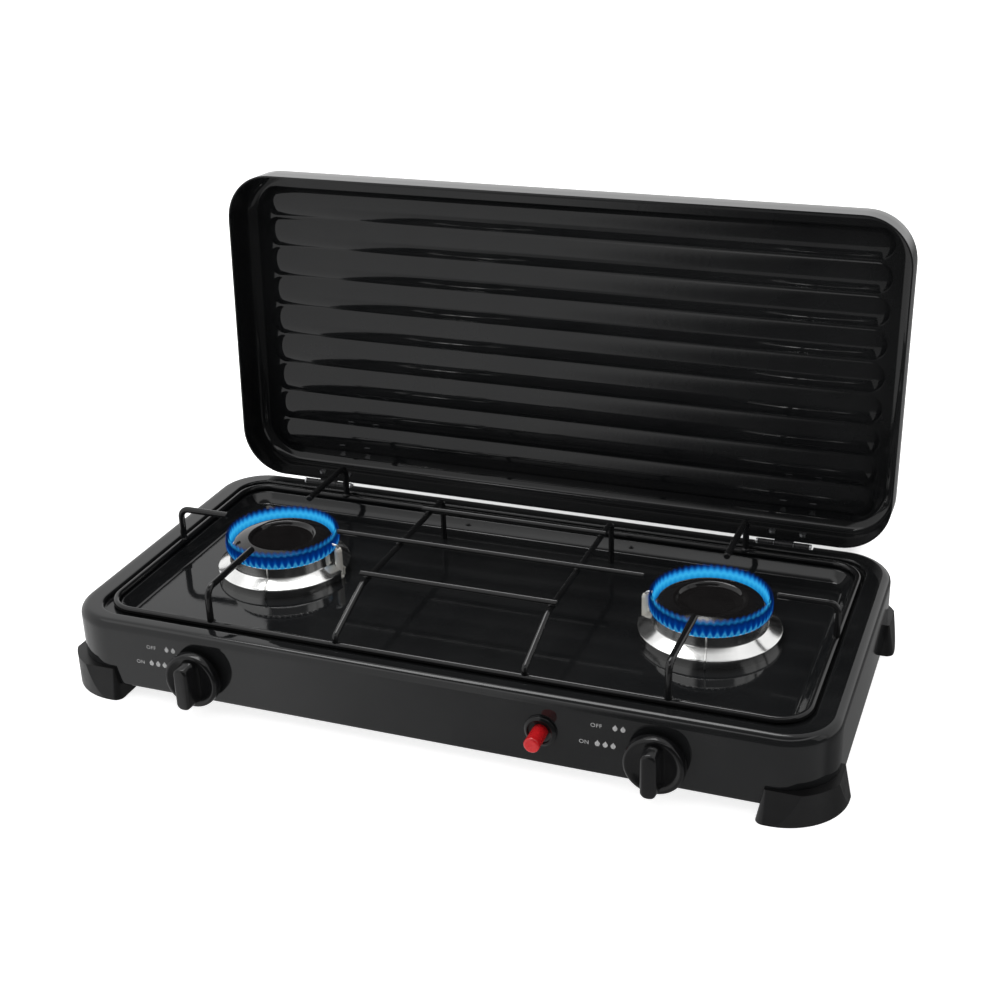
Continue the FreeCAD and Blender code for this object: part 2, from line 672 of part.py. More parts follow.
# -------------------------------------------------------------------- gas taps
def tap(side, sgn):
    cx, zc = sgn * bx, D("tap_level")
    yin = hy - th                       # inside of the front wall
    b = new_body("tap_body_" + side)
    # local frame: origin on the stem's axis at the wall's inside face, +Y inwards
    s = Sk(b, "XZ_Plane")
    s.rrect(-18.0, -8.0, 18.0, 8.0, 6.0)
    pad(s, 4.0, reverse=True)
    s = Sk(b, "XZ_Plane")
    s.circle(0.0, 0.0, D("tap_rad"))
    pad(s, 38.0, reverse=True)
    s = Sk(b, "XY_Plane", D("pipe_level") - zc)
    s.rect(-7.0, 14.0, 7.0, 26.0)
    pad(s, zc - D("pipe_level"))
    s = Sk(b, "YZ_Plane")
    s.circle(yin - D("pipe_y"), D("pipe_level") - zc, D("pipe_rad"))
    cut(s, 20.0, mid=True)
    s = Sk(b, "XZ_Plane")
    s.circle(0.0, 0.0, 7.6)
    cut(s, 8.0)
    s = Sk(b, "XZ_Plane")
    s.circle(0.0, 0.0, D("plug_bore"))
    cut(s, 31.0)
    s = Sk(b, "XZ_Plane")
    for dx in (-13.0, 13.0):
        s.circle(dx, 0.0, 1.25)
    cut(s, 4.0)
    place(b, cx, -yin, zc)
    keep(b, "tap_body_" + side)

    g = sub("tap_gland_" + side, cyl("gland_ring", cx, -yin + 2.0, zc, 7.6, 6.0, "y"),
            cyl("gland_bore", cx, -yin + 1.0, zc, D("stem_rad") + 0.5, 8.0, "y"))
    glands.append(g)

    # jet: brass nozzle screwed on the tap's rear end
    jets.append(cyl("jet_hexagon", cx, -yin + 38.0, zc, 4.2, 5.0, "y"))
    jets.append(cyl("jet_nose", cx, -yin + 43.0, zc, 2.4, 7.0, "y"))

    # taper plug with a blind bore for the stem's tail
    b = new_body("tap_plug_" + side)
    s = Sk(b, "XZ_Plane", -8.2)
    s.circle(0.0, 0.0, D("plug_rad"))
    pad(s, 22.6, reverse=True)
    s = Sk(b, "XZ_Plane", -8.2)
    s.circle(0.0, 0.0, D("stem_bore"))
    cut(s, 17.0)
    s = Sk(b, "XY_Plane")
    s.circle(0.0, 27.8, 1.0)
    cut(s, 14.0, mid=True)
    place(b, cx, -yin, zc)
    keep(b, "tap_plug_" + side)

    # stem, from inside the plug to inside the knob, with a flat for the knob
    b = new_body("tap_stem_" + side)
    s = Sk(b, "XZ_Plane", 15.0)
    s.circle(0.0, 0.0, D("stem_rad"))
    pad(s, 33.0, reverse=True)
    s = Sk(b, "XZ_Plane", 15.0)
    s.rect(-4.0, 2.2, 4.0, 4.0)
    cut(s, 9.0)
    place(b, cx, -yin, zc)
    keep(b, "tap_stem_" + side)

    # stem spring in the plug's bore
    h = doc.addObject("Part::Helix", "tap_spring_line_" + side)
    h.Pitch = 1.75
    h.Height = 6.4
    h.Radius = 2.2
    c = doc.addObject("Part::Circle", "tap_spring_wire_" + side)
    c.Radius = 0.35
    bind(c, "Radius", D("stem_rad") * 0.35 / 3.0)
    c.Placement = Placement(Vector(2.2, 0, 0), Rotation(Vector(1, 0, 0), 90))
    w = doc.addObject("Part::Sweep", "tap_spring_" + side)
    w.Sections = [c]
    w.Spine = (h, [])
    w.Solid = True
    w.Frenet = True
    place(w, cx, -yin + 18.4, zc, Rotation(Vector(1, 0, 0), -90))
    keep(w, "tap_spring_" + side)

    for dx in (-13.0, 13.0):
        tap_screws.append(cyl("tap_screw_shank", cx + dx, -hy - 0.2, zc, 1.2, 5.0, "y"))
        tap_screws.append(cyl("tap_screw_head", cx + dx, -hy - 1.8, zc, 2.9, 1.8, "y"))

    # knob: disc with a dished face and a tall straight grip; local origin on
    # the axis at the back face of the disc, -Y towards the user
    b = new_body("knob_" + side)
    s = Sk(b, "XZ_Plane")
    s.circle(0.0, 0.0, D("knob_rad"))
    pad(s, D("knob_disc"))
    fillet(b, lambda p: near(p.y, -VAL["knob_disc"]), 2.2)
    s = Sk(b, "XZ_Plane")
    s.rrect(-D("grip_half"), -D("grip_high"), D("grip_half"), D("grip_high"), 5.2)
    pad(s, D("knob_disc") + D("knob_front"))
    total = VAL["knob_disc"] + VAL["knob_front"]
    fillet(b, lambda p: near(p.y, -total), 1.6)
    # hollow back with a hub
    s = Sk(b, "XZ_Plane")
    s.circle(0.0, 0.0, D("knob_rad") - 2.0)
    s.circle(0.0, 0.0, 6.6)
    cut(s, 5.0, reverse=True)
    s = Sk(b, "XZ_Plane")
    s.circle(0.0, 0.0, D("stem_rad"))
    cut(s, 9.2, reverse=True)
    place(b, cx, -(hy + D("knob_gap")), zc)
    keep(b, "knob_" + side)


glands, jets, tap_screws = [], [], []
for side, sgn in (("left", -1), ("right", 1)):
    tap(side, sgn)
keep(fuse("tap_glands", glands), "tap_glands")
keep(fuse("tap_jets", jets), "tap_jets")
keep(fuse("tap_screws", tap_screws), "tap_screws")

# ------------------------------------------------------------------- gas pipe
pipe = new_body("gas_pipe")
s = Sk(pipe, "XY_Plane")
ix = D("inlet_x")
s.path([(-(bx + 9.0), -D("pipe_y")), (ix, -D("pipe_y")), (ix, hy - 14.0)], [22.0])
c = Sk(pipe, "YZ_Plane", -(bx + 9.0))
c.circle(-D("pipe_y"), 0.0, D("pipe_rad"))
f = pipe.newObject("PartDesign::AdditivePipe", "gas_pipe_run")
f.Profile = c.o
f.Spine = (s.o, [])
step(pipe, f, "pipe", 1)
place(pipe, 0.0, 0.0, D("pipe_level"))
keep(pipe, "gas_pipe")

inlet = new_body("gas_inlet")
# neck through the wall, shoulder outside, plain stub for the hose nut
s = Sk(inlet, "YZ_Plane")
r = D("inlet_rad")
s.poly([(-14.0, 2.6), (-14.0, r), (0.0, r), (0.0, r + 3.0), (4.0, r + 3.0), (4.0, r + 1.5),
        (17.4, r + 1.5), (18.0, r + 0.9), (18.0, 2.6)])
turn(s, "H_Axis")
place(inlet, ix, hy, D("pipe_level"))
keep(inlet, "gas_inlet")

# ------------------------------------------------------------------- igniter
sx0, sz0 = D("spark_button_x"), D("spark_button_level")
b = new_body("igniter_body")
s = Sk(b, "YZ_Plane")
s.poly([(0.0, 5.6), (0.0, 11.0), (3.0, 11.0), (3.0, 9.0), (36.0, 9.0), (38.0, 7.0), (38.0, 0.0),
        (30.0, 0.0), (30.0, 5.6)])
turn(s, "H_Axis")
place(b, sx0, -hy + th, sz0)
keep(b, "igniter_body")
b = new_body("igniter_collar")
s = Sk(b, "YZ_Plane")
s.poly([(0.0, 5.7), (0.0, 7.4), (-1.2, 7.4), (-1.2, D("collar_rad")), (-3.4, D("collar_rad")),
        (-4.4, D("collar_rad") - 1.4), (-4.4, 8.4), (-3.4, 7.2), (-3.4, 5.7)])
turn(s, "H_Axis")
place(b, sx0, -hy + th, sz0)
keep(b, "igniter_collar")
b = new_body("igniter_button")
s = Sk(b, "YZ_Plane")
br = D("button_rad")
s.poly([(14.0, 0.0), (14.0, br), (-(D("button_out") - 1.2), br), (-D("button_out"), br - 1.2),
        (-D("button_out"), 0.0)])
turn(s, "H_Axis")
place(b, sx0, -hy, sz0)
keep(b, "igniter_button")
h = doc.addObject("Part::Helix", "igniter_spring_line")
h.Pitch = 3.4
h.Height = 15.0
h.Radius = 4.0
c = doc.addObject("Part::Circle", "igniter_spring_wire")
c.Radius = 0.45
bind(c, "Radius", D("button_rad") * 0.45 / 5.5)
c.Placement = Placement(Vector(4.0, 0, 0), Rotation(Vector(1, 0, 0), 90))
w = doc.addObject("Part::Sweep", "igniter_spring")
w.Sections = [c]
w.Spine = (h, [])
w.Solid = True
w.Frenet = True
place(w, sx0, -hy + 14.6, sz0, Rotation(Vector(1, 0, 0), -90))
keep(w, "igniter_spring")

# high-tension leads from the igniter's tail to each spark pin
for side, pts, rad in (
        ("right", [(sx0 + 4.0, -hy + 39.4), (sx0 + 4.0, -42.0), (D("spark_x"), -22.0),
                   (D("spark_x"), -0.9)], [14.0, 12.0]),
        ("left", [(sx0 - 4.0, -hy + 39.4), (sx0 - 4.0, -60.0), (-D("spark_x"), -60.0),
                  (-D("spark_x"), -0.9)], [18.0, 18.0])):
    b = new_body("spark_lead_" + side)
    s = Sk(b, "XY_Plane")
    s.path(pts, rad)
    c = Sk(b, "XZ_Plane", -(pts[0][1]))
    c.circle(pts[0][0], 0.0, 1.3)
    f = b.newObject("PartDesign::AdditivePipe", b.Name + "_run")
    f.Profile = c.o
    f.Spine = (s.o, [])
    step(b, f, "pipe", 1)
    place(b, 0.0, 0.0, sz0 + 1.5)
    keep(b, "spark_lead_" + side)

# ---------------------------------------------------------- removable wire grid
rb, rs = D("wire_big"), D("wire_small")
gx, gy, gz = D("grid_half_x"), D("grid_half_y"), D("grid_base")
b = new_body("grid_frame")
s = Sk(b, "XY_Plane")
s.rrect(-gx, -gy, gx, gy, D("grid_round"))
c = Sk(b, "YZ_Plane", -(gx - D("grid_round")))
c.circle(-gy, 0.0, rb)
f = b.newObject("PartDesign::AdditivePipe", "grid_frame_run")
f.Profile = c.o
f.Spine = (s.o, [])
step(b, f, "pipe", 1)
place(b, 0.0, 0.0, gz)
keep(b, "grid_frame")


def finger(name, x, y, angle, reach):
    """An upright rod on the frame, bent over to a flat finger."""
    b = new_body(name)
    s = Sk(b, "XZ_Plane")
    up = D("grid_level") - gz
    s.path([(0.0, rb - 0.2), (0.0, up), (reach, up)], [D("finger_bend")])
    c = Sk(b, "XY_Plane", rb - 0.2)
    c.circle(0.0, 0.0, rb)
    f = b.newObject("PartDesign::AdditivePipe", b.Name + "_run")
    f.Profile = c.o
    f.Spine = (s.o, [])
    step(b, f, "pipe", 1)
    fillet(b, lambda p: near(p.x, num(reach)), 1.0)
    place(b, x, y, gz, Rotation(Vector(0, 0, 1), angle))
    keep(b, name)


short = gx - bx - D("tip_gap")
long_ = gy - D("tip_gap")
for side, sgn in (("left", -1), ("right", 1)):
    finger("grid_finger_side_" + side, sgn * gx, 0.0, 0 if sgn < 0 else 180, short)
    finger("grid_finger_front_" + side, sgn * bx, -gy, 90, long_)
    finger("grid_finger_back_" + side, sgn * bx, gy, -90, long_)

cz = D("grid_level") + rb - 0.1 - rs          # long wires' centre line
dz = cz - 2 * rs + 0.15 - gz                  # cross wires' centre line
for side, sgn in (("left", -1), ("right", 1)):
    b = new_body("grid_cross_" + side)
    s = Sk(b, "YZ_Plane")
    s.path([(-gy, rb - 0.2), (-gy, rb + 4.0), (-66.0, dz), (86.0, dz),
            (86.0, D("pan_level") + 0.15 - gz)], [3.0, 14.0, 6.0])
    c = Sk(b, "XY_Plane", rb - 0.2)
    c.circle(0.0, -gy, rs)
    f = b.newObject("PartDesign::AdditivePipe", b.Name + "_run")
    f.Profile = c.o
    f.Spine = (s.o, [])
    step(b, f, "pipe", 1)
    place(b, sgn * D("cross_x"), 0.0, gz)
    keep(b, "grid_cross_" + side)

for name, y, half in (("grid_bar_front", -D("long_y"), D("long_half")),
                      ("grid_bar_middle", 0.0, bx - D("tip_gap") - 1.5),
                      ("grid_bar_back", D("long_y"), D("long_half"))):
    b = new_body(name)
    s = Sk(b, "YZ_Plane")
    s.circle(0.0, 0.0, rs)
    pad(s, half * 2, mid=True)
    fillet(b, lambda p: near(abs(p.x), num(half)), 0.8)
    place(b, 0.0, y, cz)
    keep(b, name)

# ---------------------------------------------------------------------- hinges
HX, HY, HZ = D("hinge_x"), D("hinge_y"), D("hinge_level")
OPEN = Rotation(Vector(1, 0, 0), -VAL["lid_open"])
lf = D("leaf_half")
br, lt = D("barrel_rad"), D("leaf_thick")
drop = D("lid_rear") - HY                    # rear face of the lid, lid closed
pins = []
for side, sgn in (("left", -1), ("right", 1)):
    b = new_body("hinge_leaf_body_" + side)
    for x0 in (-20.0, 7.9):
        s = Sk(b, "YZ_Plane", x0)
        s.circle(0.0, 0.0, br)
        pad(s, 12.1)
        s = Sk(b, "YZ_Plane", x0)
        s.rect(0.0, -br, 6.0, -br + lt)
        pad(s, 12.1)
        if x0 < 0:
            s = Sk(b, "YZ_Plane", -20.0)
            s.poly([(3.6, -br), (hy - HY, -br), (hy - HY, -26.0), (hy - HY + lt + 0.2, -26.0),
                    (hy - HY + lt + 0.2, -br + lt), (3.6, -br + lt)])
            pad(s, lf * 2)
    s = Sk(b, "YZ_Plane")
    s.circle(0.0, 0.0, D("pin_bore"))
    cut(s, 60.0, mid=True)
    s = Sk(b, "XZ_Plane", -(hy - HY) - 3.0)
    for dx in (-12.0, 12.0):
        s.circle(dx, 44.0 - HZ, 1.6)
    cut(s, 6.0, reverse=True)
    place(b, sgn * HX, HY, HZ)
    keep(b, "hinge_leaf_body_" + side)

    b = new_body("hinge_leaf_lid_" + side)
    s = Sk(b, "YZ_Plane")
    s.circle(0.0, 0.0, br)
    pad(s, 15.0, mid=True)
    s = Sk(b, "YZ_Plane")
    s.rect(drop, 0.4, drop + lt, 6.0)
    pad(s, 15.0, mid=True)
    s = Sk(b, "YZ_Plane")
    s.rect(drop, 3.4, drop + lt, 24.0)
    pad(s, lf * 2, mid=True)
    s = Sk(b, "YZ_Plane")
    s.circle(0.0, 0.0, D("pin_bore"))
    cut(s, 60.0, mid=True)
    s = Sk(b, "XZ_Plane", -(drop + lt) - 1.0)
    for dx in (-12.0, 12.0):
        s.circle(dx, 14.0, 1.6)
    cut(s, 4.0, reverse=True)
    place(b, sgn * HX, HY, HZ, OPEN)
    keep(b, "hinge_leaf_lid_" + side)

    pins += [
        cyl("hinge_pin_rod", sgn * HX - 21.4, HY, HZ, D("pin_rad"), 42.8, "x"),
        cyl("hinge_pin_head", sgn * HX - 21.4, HY, HZ, br, 1.2, "x"),
        cyl("hinge_pin_head", sgn * HX + 20.2, HY, HZ, br, 1.2, "x")]

keep(fuse("hinge_pins", pins), "hinge_pins")
items = []
for sgn in (-1, 1):
    for dx in (-12.0, 12.0):
        x = sgn * HX + dx
        items.append(cyl("rivet_shank", x, hy - 2.2, 44.0, 1.55, 4.2, "y"))
        items.append(cyl("rivet_head", x, hy + lt + 0.2, 44.0, 3.0, 1.3, "y"))
        items.append(cyl("rivet_tail", x, hy - th - 1.2, 44.0, 2.8, 1.2, "y"))
keep(fuse("hinge_rivets_body", items), "hinge_rivets_body")
items = []
for sgn in (-1, 1):
    for dx in (-12.0, 12.0):
        x = sgn * HX + dx
        items.append(cyl("rivet_shank", x, drop - 2.2, 14.0, 1.55, 4.0, "y"))
        items.append(cyl("rivet_head", x, drop + lt, 14.0, 3.0, 1.2, "y"))
        items.append(cyl("rivet_tail", x, drop - D("lid_sheet") - 1.1, 14.0, 2.8, 1.1, "y"))
r = fuse("hinge_rivets_lid", items)
place(r, 0.0, HY, HZ, OPEN)
keep(r, "hinge_rivets_lid")

# ------------------------------------------------------------------------- lid
# local frame: the hinge axis, with the lid closed; -Y to the front
lid = new_body("lid_shell")
Lx, Ly, Rl, ls = D("lid_len_x") / 2, D("lid_len_y"), D("lid_round"), D("lid_sheet")
z0 = D("lid_level") - HZ
z1 = z0 + D("lid_depth")
pad(Sk(lid, "XY_Plane", z0).rrect(-Lx, drop - Ly, Lx, drop, Rl), D("lid_depth"))
fillet(lid, lambda p: near(p.z, num(z1)), D("lid_edge"))
block = lid.Tip
under_face = ["Face%d" % i for i, fc in enumerate(block.Shape.Faces, start=1)
              if near(fc.BoundBox.ZMax, num(z0)) and near(fc.BoundBox.ZMin, num(z0))]
wall = lid.newObject("PartDesign::Thickness", "lid_wall")
wall.Base = (block, under_face)
wall.Value = num(ls)
bind(wall, "Value", ls)
wall.Reversed = True
wall.Mode = 0
wall.Join = 0
step(lid, wall, "thickness", -1)
yc = drop - Ly / 2
rx, ry = D("rib_half_x"), D("rib_half_y")
y_first = yc - 4 * D("rib_pitch")
# flutes: pressed inwards, so that they stand proud inside the lid
s = Sk(lid, "XY_Plane", z1 - ls)
s.rrect(-rx, y_first - ry, rx, y_first + ry, ry - 0.3)
rib_in = pad(s, D("rib_deep"), reverse=True, taper=-D("rib_draft"))
v_flat = volume(lid)
pattern_linear(lid, [rib_in], "Y_Axis", D("rib_pitch") * 8, 9)
doc.recompute()
if not volume(lid) > v_flat + 1000:
    raise RuntimeError("inner ribs missing")
s = Sk(lid, "XY_Plane", z1)
s.rrect(-(rx - 0.6), y_first - (ry - 0.6), rx - 0.6, y_first + (ry - 0.6), ry - 0.9)
rib_out = cut(s, D("rib_deep"), taper=-D("rib_draft"))
v_one = volume(lid)
pattern_linear(lid, [rib_out], "Y_Axis", D("rib_pitch") * 8, 9)
doc.recompute()
if not volume(lid) < v_one - 1000:
    raise RuntimeError("outer grooves missing")
s = Sk(lid, "XZ_Plane", -drop - 1.0)
for sgn in (-1, 1):
    for dx in (-12.0, 12.0):
        s.circle(sgn * HX + dx, 14.0, 1.6)
cut(s, ls + 2.0, reverse=True)
place(lid, 0.0, HY, HZ, OPEN)
keep(lid, "lid_shell")


# ------------------------------------------------------------------ write out
doc.recompute()
bad = [o.Name for o in doc.Objects if "Invalid" in o.State or "Error" in o.State]
if bad:
    raise RuntimeError("failed objects: " + ", ".join(bad))
for label, obj in NODES:
    shp = obj.Shape
    if shp.isNull() or not shp.isValid() or shp.Volume <= 0:
        raise RuntimeError("bad shape: " + label)
    if obj.Label != label:
        raise RuntimeError("label clash: " + label)
os.makedirs("parts", exist_ok=True)
for label, obj in NODES:
    obj.Shape.exportStep("parts/%s.step" % label)
print("wrote", len(NODES), "parts")
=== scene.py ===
import json
import math
import random

import bmesh
import bpy
from mathutils import Matrix, Vector, noise
from mathutils.geometry import delaunay_2d_cdt


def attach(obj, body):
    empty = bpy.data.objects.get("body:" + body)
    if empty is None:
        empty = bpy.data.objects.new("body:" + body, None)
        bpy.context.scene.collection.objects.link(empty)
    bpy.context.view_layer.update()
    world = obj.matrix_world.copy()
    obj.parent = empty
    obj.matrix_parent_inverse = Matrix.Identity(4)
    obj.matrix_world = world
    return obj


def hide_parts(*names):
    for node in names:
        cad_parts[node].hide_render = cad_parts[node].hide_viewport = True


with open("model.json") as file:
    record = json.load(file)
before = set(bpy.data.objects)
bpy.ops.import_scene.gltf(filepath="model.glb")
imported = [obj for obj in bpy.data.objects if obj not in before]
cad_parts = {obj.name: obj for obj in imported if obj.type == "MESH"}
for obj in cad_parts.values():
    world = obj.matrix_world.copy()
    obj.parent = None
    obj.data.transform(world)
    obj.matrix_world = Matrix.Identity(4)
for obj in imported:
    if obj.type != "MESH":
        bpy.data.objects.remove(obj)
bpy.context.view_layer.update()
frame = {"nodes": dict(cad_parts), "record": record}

MM = 0.001
rnd = random.Random(7)
scene = bpy.context.scene

# --------------------------------------------------------------------- camera
AZ, EL, ROLL = math.radians(21.2494), math.radians(24.8466), math.radians(-1.7127)
back = Vector((math.sin(AZ) * math.cos(EL), -math.cos(AZ) * math.cos(EL), math.sin(EL)))
right = (-back).cross(Vector((0, 0, 1))).normalized()
up = right.cross(-back)
r2 = math.cos(ROLL) * right + math.sin(ROLL) * up
u2 = -math.sin(ROLL) * right + math.cos(ROLL) * up
cam_data = bpy.data.cameras.new("camera")
cam_data.sensor_width = 36.0
cam_data.lens = 36.0 * 1610.1 / 1000.0
cam_data.clip_start = 0.01
cam = bpy.data.objects.new("camera", cam_data)
cam.matrix_world = Matrix((
    (r2.x, u2.x, back.x, 0.3966),
    (r2.y, u2.y, back.y, -0.9883),
    (r2.z, u2.z, back.z, 0.6239),
    (0, 0, 0, 1)))
scene.collection.objects.link(cam)
scene.camera = cam
scene.view_settings.view_transform = "Standard"


# ------------------------------------------------------------------ materials
class Mat:
    """A Principled material and short calls that add nodes to it."""

    def __init__(self, name, **base):
        self.m = bpy.data.materials.new(name)
        self.m.use_nodes = True
        self.nt = self.m.node_tree
        self.b = self.nt.nodes["Principled BSDF"]
        self.out = self.nt.nodes["Material Output"]
        for k, v in base.items():
            self.b.inputs[k.replace("_", " ")].default_value = v
        self.co = self.nt.nodes.new("ShaderNodeTexCoord").outputs["Object"]
        self.normal = None

    def link(self, a, b):
        self.nt.links.new(a, b)
        return self

    def node(self, kind, **vals):
        n = self.nt.nodes.new("ShaderNode" + kind)
        for k, v in vals.items():
            k = k.replace("_", " ")
            if isinstance(v, bpy.types.NodeSocket):
                self.nt.links.new(v, n.inputs[k])
            else:
                n.inputs[k].default_value = v
        return n

    def mapping(self, loc=(0, 0, 0), scale=(1, 1, 1), src=None):
        return self.node("Mapping", Vector=src or self.co, Location=loc, Scale=scale).outputs[0]

    def noise(self, scale, detail=2.0, rough=0.5, vec=None, distort=0.0):
        n = self.node("TexNoise", Vector=vec or self.co, Scale=scale, Detail=detail,
                      Roughness=rough, Distortion=distort)
        return n.outputs["Fac"] if "Fac" in n.outputs else n.outputs[0]

    def ramp(self, fac, stops):
        n = self.node("ValToRGB", Fac=fac)
        el = n.color_ramp.elements
        while len(el) < len(stops):
            el.new(0.5)
        for e, (p, c) in zip(el, stops):
            e.position = p
            e.color = (*c, 1.0) if len(c) == 3 else c
        return n.outputs["Color"]

    def span(self, fac, lo, hi, a=0.0, b=1.0):
        return self.node("MapRange", Value=fac, From_Min=a, From_Max=b, To_Min=lo,
                         To_Max=hi).outputs["Result"]

    def math(self, op, a, b=None):
        n = self.nt.nodes.new("ShaderNodeMath")
        n.operation = op
        for i, v in enumerate((a, b)):
            if v is None:
                continue
            if isinstance(v, bpy.types.NodeSocket):
                self.nt.links.new(v, n.inputs[i])
            else:
                n.inputs[i].default_value = v
        return n.outputs[0]

    def color(self, sock):
        self.link(sock, self.b.inputs["Base Color"])
        return self

    def rough(self, sock):
        self.link(sock, self.b.inputs["Roughness"])
        return self

    def bump(self, height, strength, distance):
        n = self.node("Bump", Height=height, Strength=strength, Distance=distance)
        if self.normal is not None:
            self.link(self.normal, n.inputs["Normal"])
        self.normal = n.outputs["Normal"]
        self.link(self.normal, self.b.inputs["Normal"])
        return self


def enamel(name, dark, light, rough_lo, rough_hi, peel=0.05, ior=1.4):
    """Fired gloss enamel: faint cloudiness, a slight orange peel and a few pin specks."""
    m = Mat(name, IOR=ior)
    cloud = m.noise(14.0, 4.0, 0.6)
    m.color(m.ramp(cloud, [(0.32, dark), (0.68, light)]))
    m.rough(m.span(m.noise(55.0, 5.0, 0.65), rough_lo, rough_hi, 0.3, 0.7))
    m.bump(m.noise(260.0, 2.0, 0.5), peel, 0.0004)
    speck = m.node("TexVoronoi", Vector=m.co, Scale=130.0)
    dots = m.ramp(speck.outputs["Distance"], [(0.0, (1, 1, 1)), (0.035, (0, 0, 0))])
    m.bump(dots, 0.12, 0.00008)
    return m.m


def plastic(name, dark, light, rough_lo, rough_hi, grain=0.12, ior=1.46, scale=2400.0):
    """Moulded plastic with a fine spark-eroded grain and slight colour drift."""
    m = Mat(name, IOR=ior)
    m.color(m.ramp(m.noise(22.0, 5.0, 0.6), [(0.3, dark), (0.7, light)]))
    m.rough(m.span(m.noise(120.0, 4.0, 0.6), rough_lo, rough_hi, 0.3, 0.7))
    m.bump(m.noise(scale, 3.0, 0.7), grain, 0.00012)
    return m.m


def turned(name, base, rough_lo, rough_hi, strength=0.12, lines=2600.0):
    """Lathe-turned metal: rings round the part's own Z axis, with light stains."""
    m = Mat(name, Metallic=1.0)
    sep = m.node("SeparateXYZ", Vector=m.co)
    rad = m.math("SQRT", m.math("ADD", m.math("MULTIPLY", sep.outputs[0], sep.outputs[0]),
                                m.math("MULTIPLY", sep.outputs[1], sep.outputs[1])))
    along = m.math("ADD", rad, m.math("MULTIPLY", sep.outputs[2], 0.83))
    vec = m.node("CombineXYZ", X=m.math("MULTIPLY", along, lines)).outputs[0]
    rings = m.noise(1.0, 3.0, 0.6, vec=vec)
    stain = m.noise(38.0, 4.0, 0.6)
    lo = tuple(c * 0.86 for c in base)
    m.color(m.ramp(stain, [(0.34, lo), (0.66, base)]))
    m.rough(m.span(rings, rough_lo, rough_hi, 0.3, 0.7))
    m.bump(rings, strength, 0.00006)
    return m.m


def metal(name, base, rough_lo, rough_hi, scale=140.0, strength=0.15, dist=0.0002, stretch=None):
    m = Mat(name, Metallic=1.0)
    vec = m.mapping(scale=stretch) if stretch else m.co
    n = m.noise(scale, 5.0, 0.65, vec=vec)
    m.color(m.ramp(m.noise(45.0, 4.0, 0.6), [(0.3, tuple(c * 0.8 for c in base)), (0.7, base)]))
    m.rough(m.span(n, rough_lo, rough_hi, 0.3, 0.7))
    m.bump(n, strength, dist)
    return m.m


M = {}
M["enamel"] = enamel("enamel_gloss_black", (0.0065, 0.0068, 0.0072), (0.0105, 0.0108, 0.0112),
                     0.045, 0.085)
M["wire_enamel"] = enamel("enamel_wire_black", (0.006, 0.006, 0.0063), (0.010, 0.010, 0.0104),
                          0.08, 0.14, peel=0.10)
M["cap_enamel"] = enamel("enamel_cap_black", (0.0055, 0.005, 0.005), (0.010, 0.009, 0.009),
                         0.07, 0.12, peel=0.10, ior=1.45)
M["foot_plastic"] = plastic("plastic_foot_black", (0.0045, 0.0045, 0.0048), (0.008, 0.008, 0.0084),
                            0.30, 0.44, grain=0.22, ior=1.33)
M["knob_plastic"] = plastic("plastic_knob_black", (0.0035, 0.0035, 0.0038), (0.006, 0.006, 0.0064),
                            0.11, 0.19, grain=0.05, ior=1.36)
M["button_plastic"] = plastic("plastic_button_red", (0.42, 0.006, 0.009), (0.56, 0.014, 0.018),
                              0.18, 0.30, grain=0.05)
M["polished_alloy"] = turned("alloy_polished", (0.93, 0.93, 0.92), 0.10, 0.20, 0.10)
M["cast_alloy"] = metal("alloy_as_cast", (0.56, 0.56, 0.55), 0.38, 0.56, 420.0, 0.45, 0.0004)
M["ceramic"] = plastic("ceramic_white_glaze", (0.72, 0.69, 0.62), (0.86, 0.84, 0.78), 0.10, 0.22,
                       grain=0.05, scale=600.0)
M["brass"] = turned("brass_turned", (0.72, 0.50, 0.22), 0.20, 0.34, 0.2)
M["zinc_steel"] = metal("steel_zinc", (0.66, 0.67, 0.69), 0.22, 0.38, 260.0, 0.2)
M["spring_steel"] = metal("steel_spring", (0.45, 0.45, 0.46), 0.24, 0.36, 500.0, 0.15)
M["pipe_steel"] = metal("steel_pipe", (0.52, 0.52, 0.53), 0.26, 0.44, 90.0, 0.12,
                        stretch=(0.15, 1.0, 1.0))
M["hinge_steel"] = enamel("hinge_painted_black", (0.012, 0.012, 0.013), (0.022, 0.022, 0.023),
                          0.2, 0.34, peel=0.2)
M["lead_rubber"] = plastic("rubber_lead_black", (0.012, 0.012, 0.012), (0.03, 0.03, 0.03), 0.5,
                           0.7, grain=0.3, scale=900.0)


def print_white():
    m = Mat("print_white_ink", IOR=1.45)
    m.color(m.ramp(m.noise(900.0, 3.0, 0.6), [(0.3, (0.26, 0.26, 0.26)), (0.7, (0.44, 0.44, 0.44))]))
    m.rough(m.span(m.noise(400.0, 2.0), 0.4, 0.6, 0.3, 0.7))
    m.bump(m.noise(1500.0, 3.0), 0.2, 0.00005)
    return m.m


M["print"] = print_white()

by_slot = {}
for sub in frame["record"]["subparts"]:
    by_slot[sub["node"]] = sub["material_slot"]
for node, ob in frame["nodes"].items():
    for s in ob.material_slots:
        s.material = M[by_slot[node]]


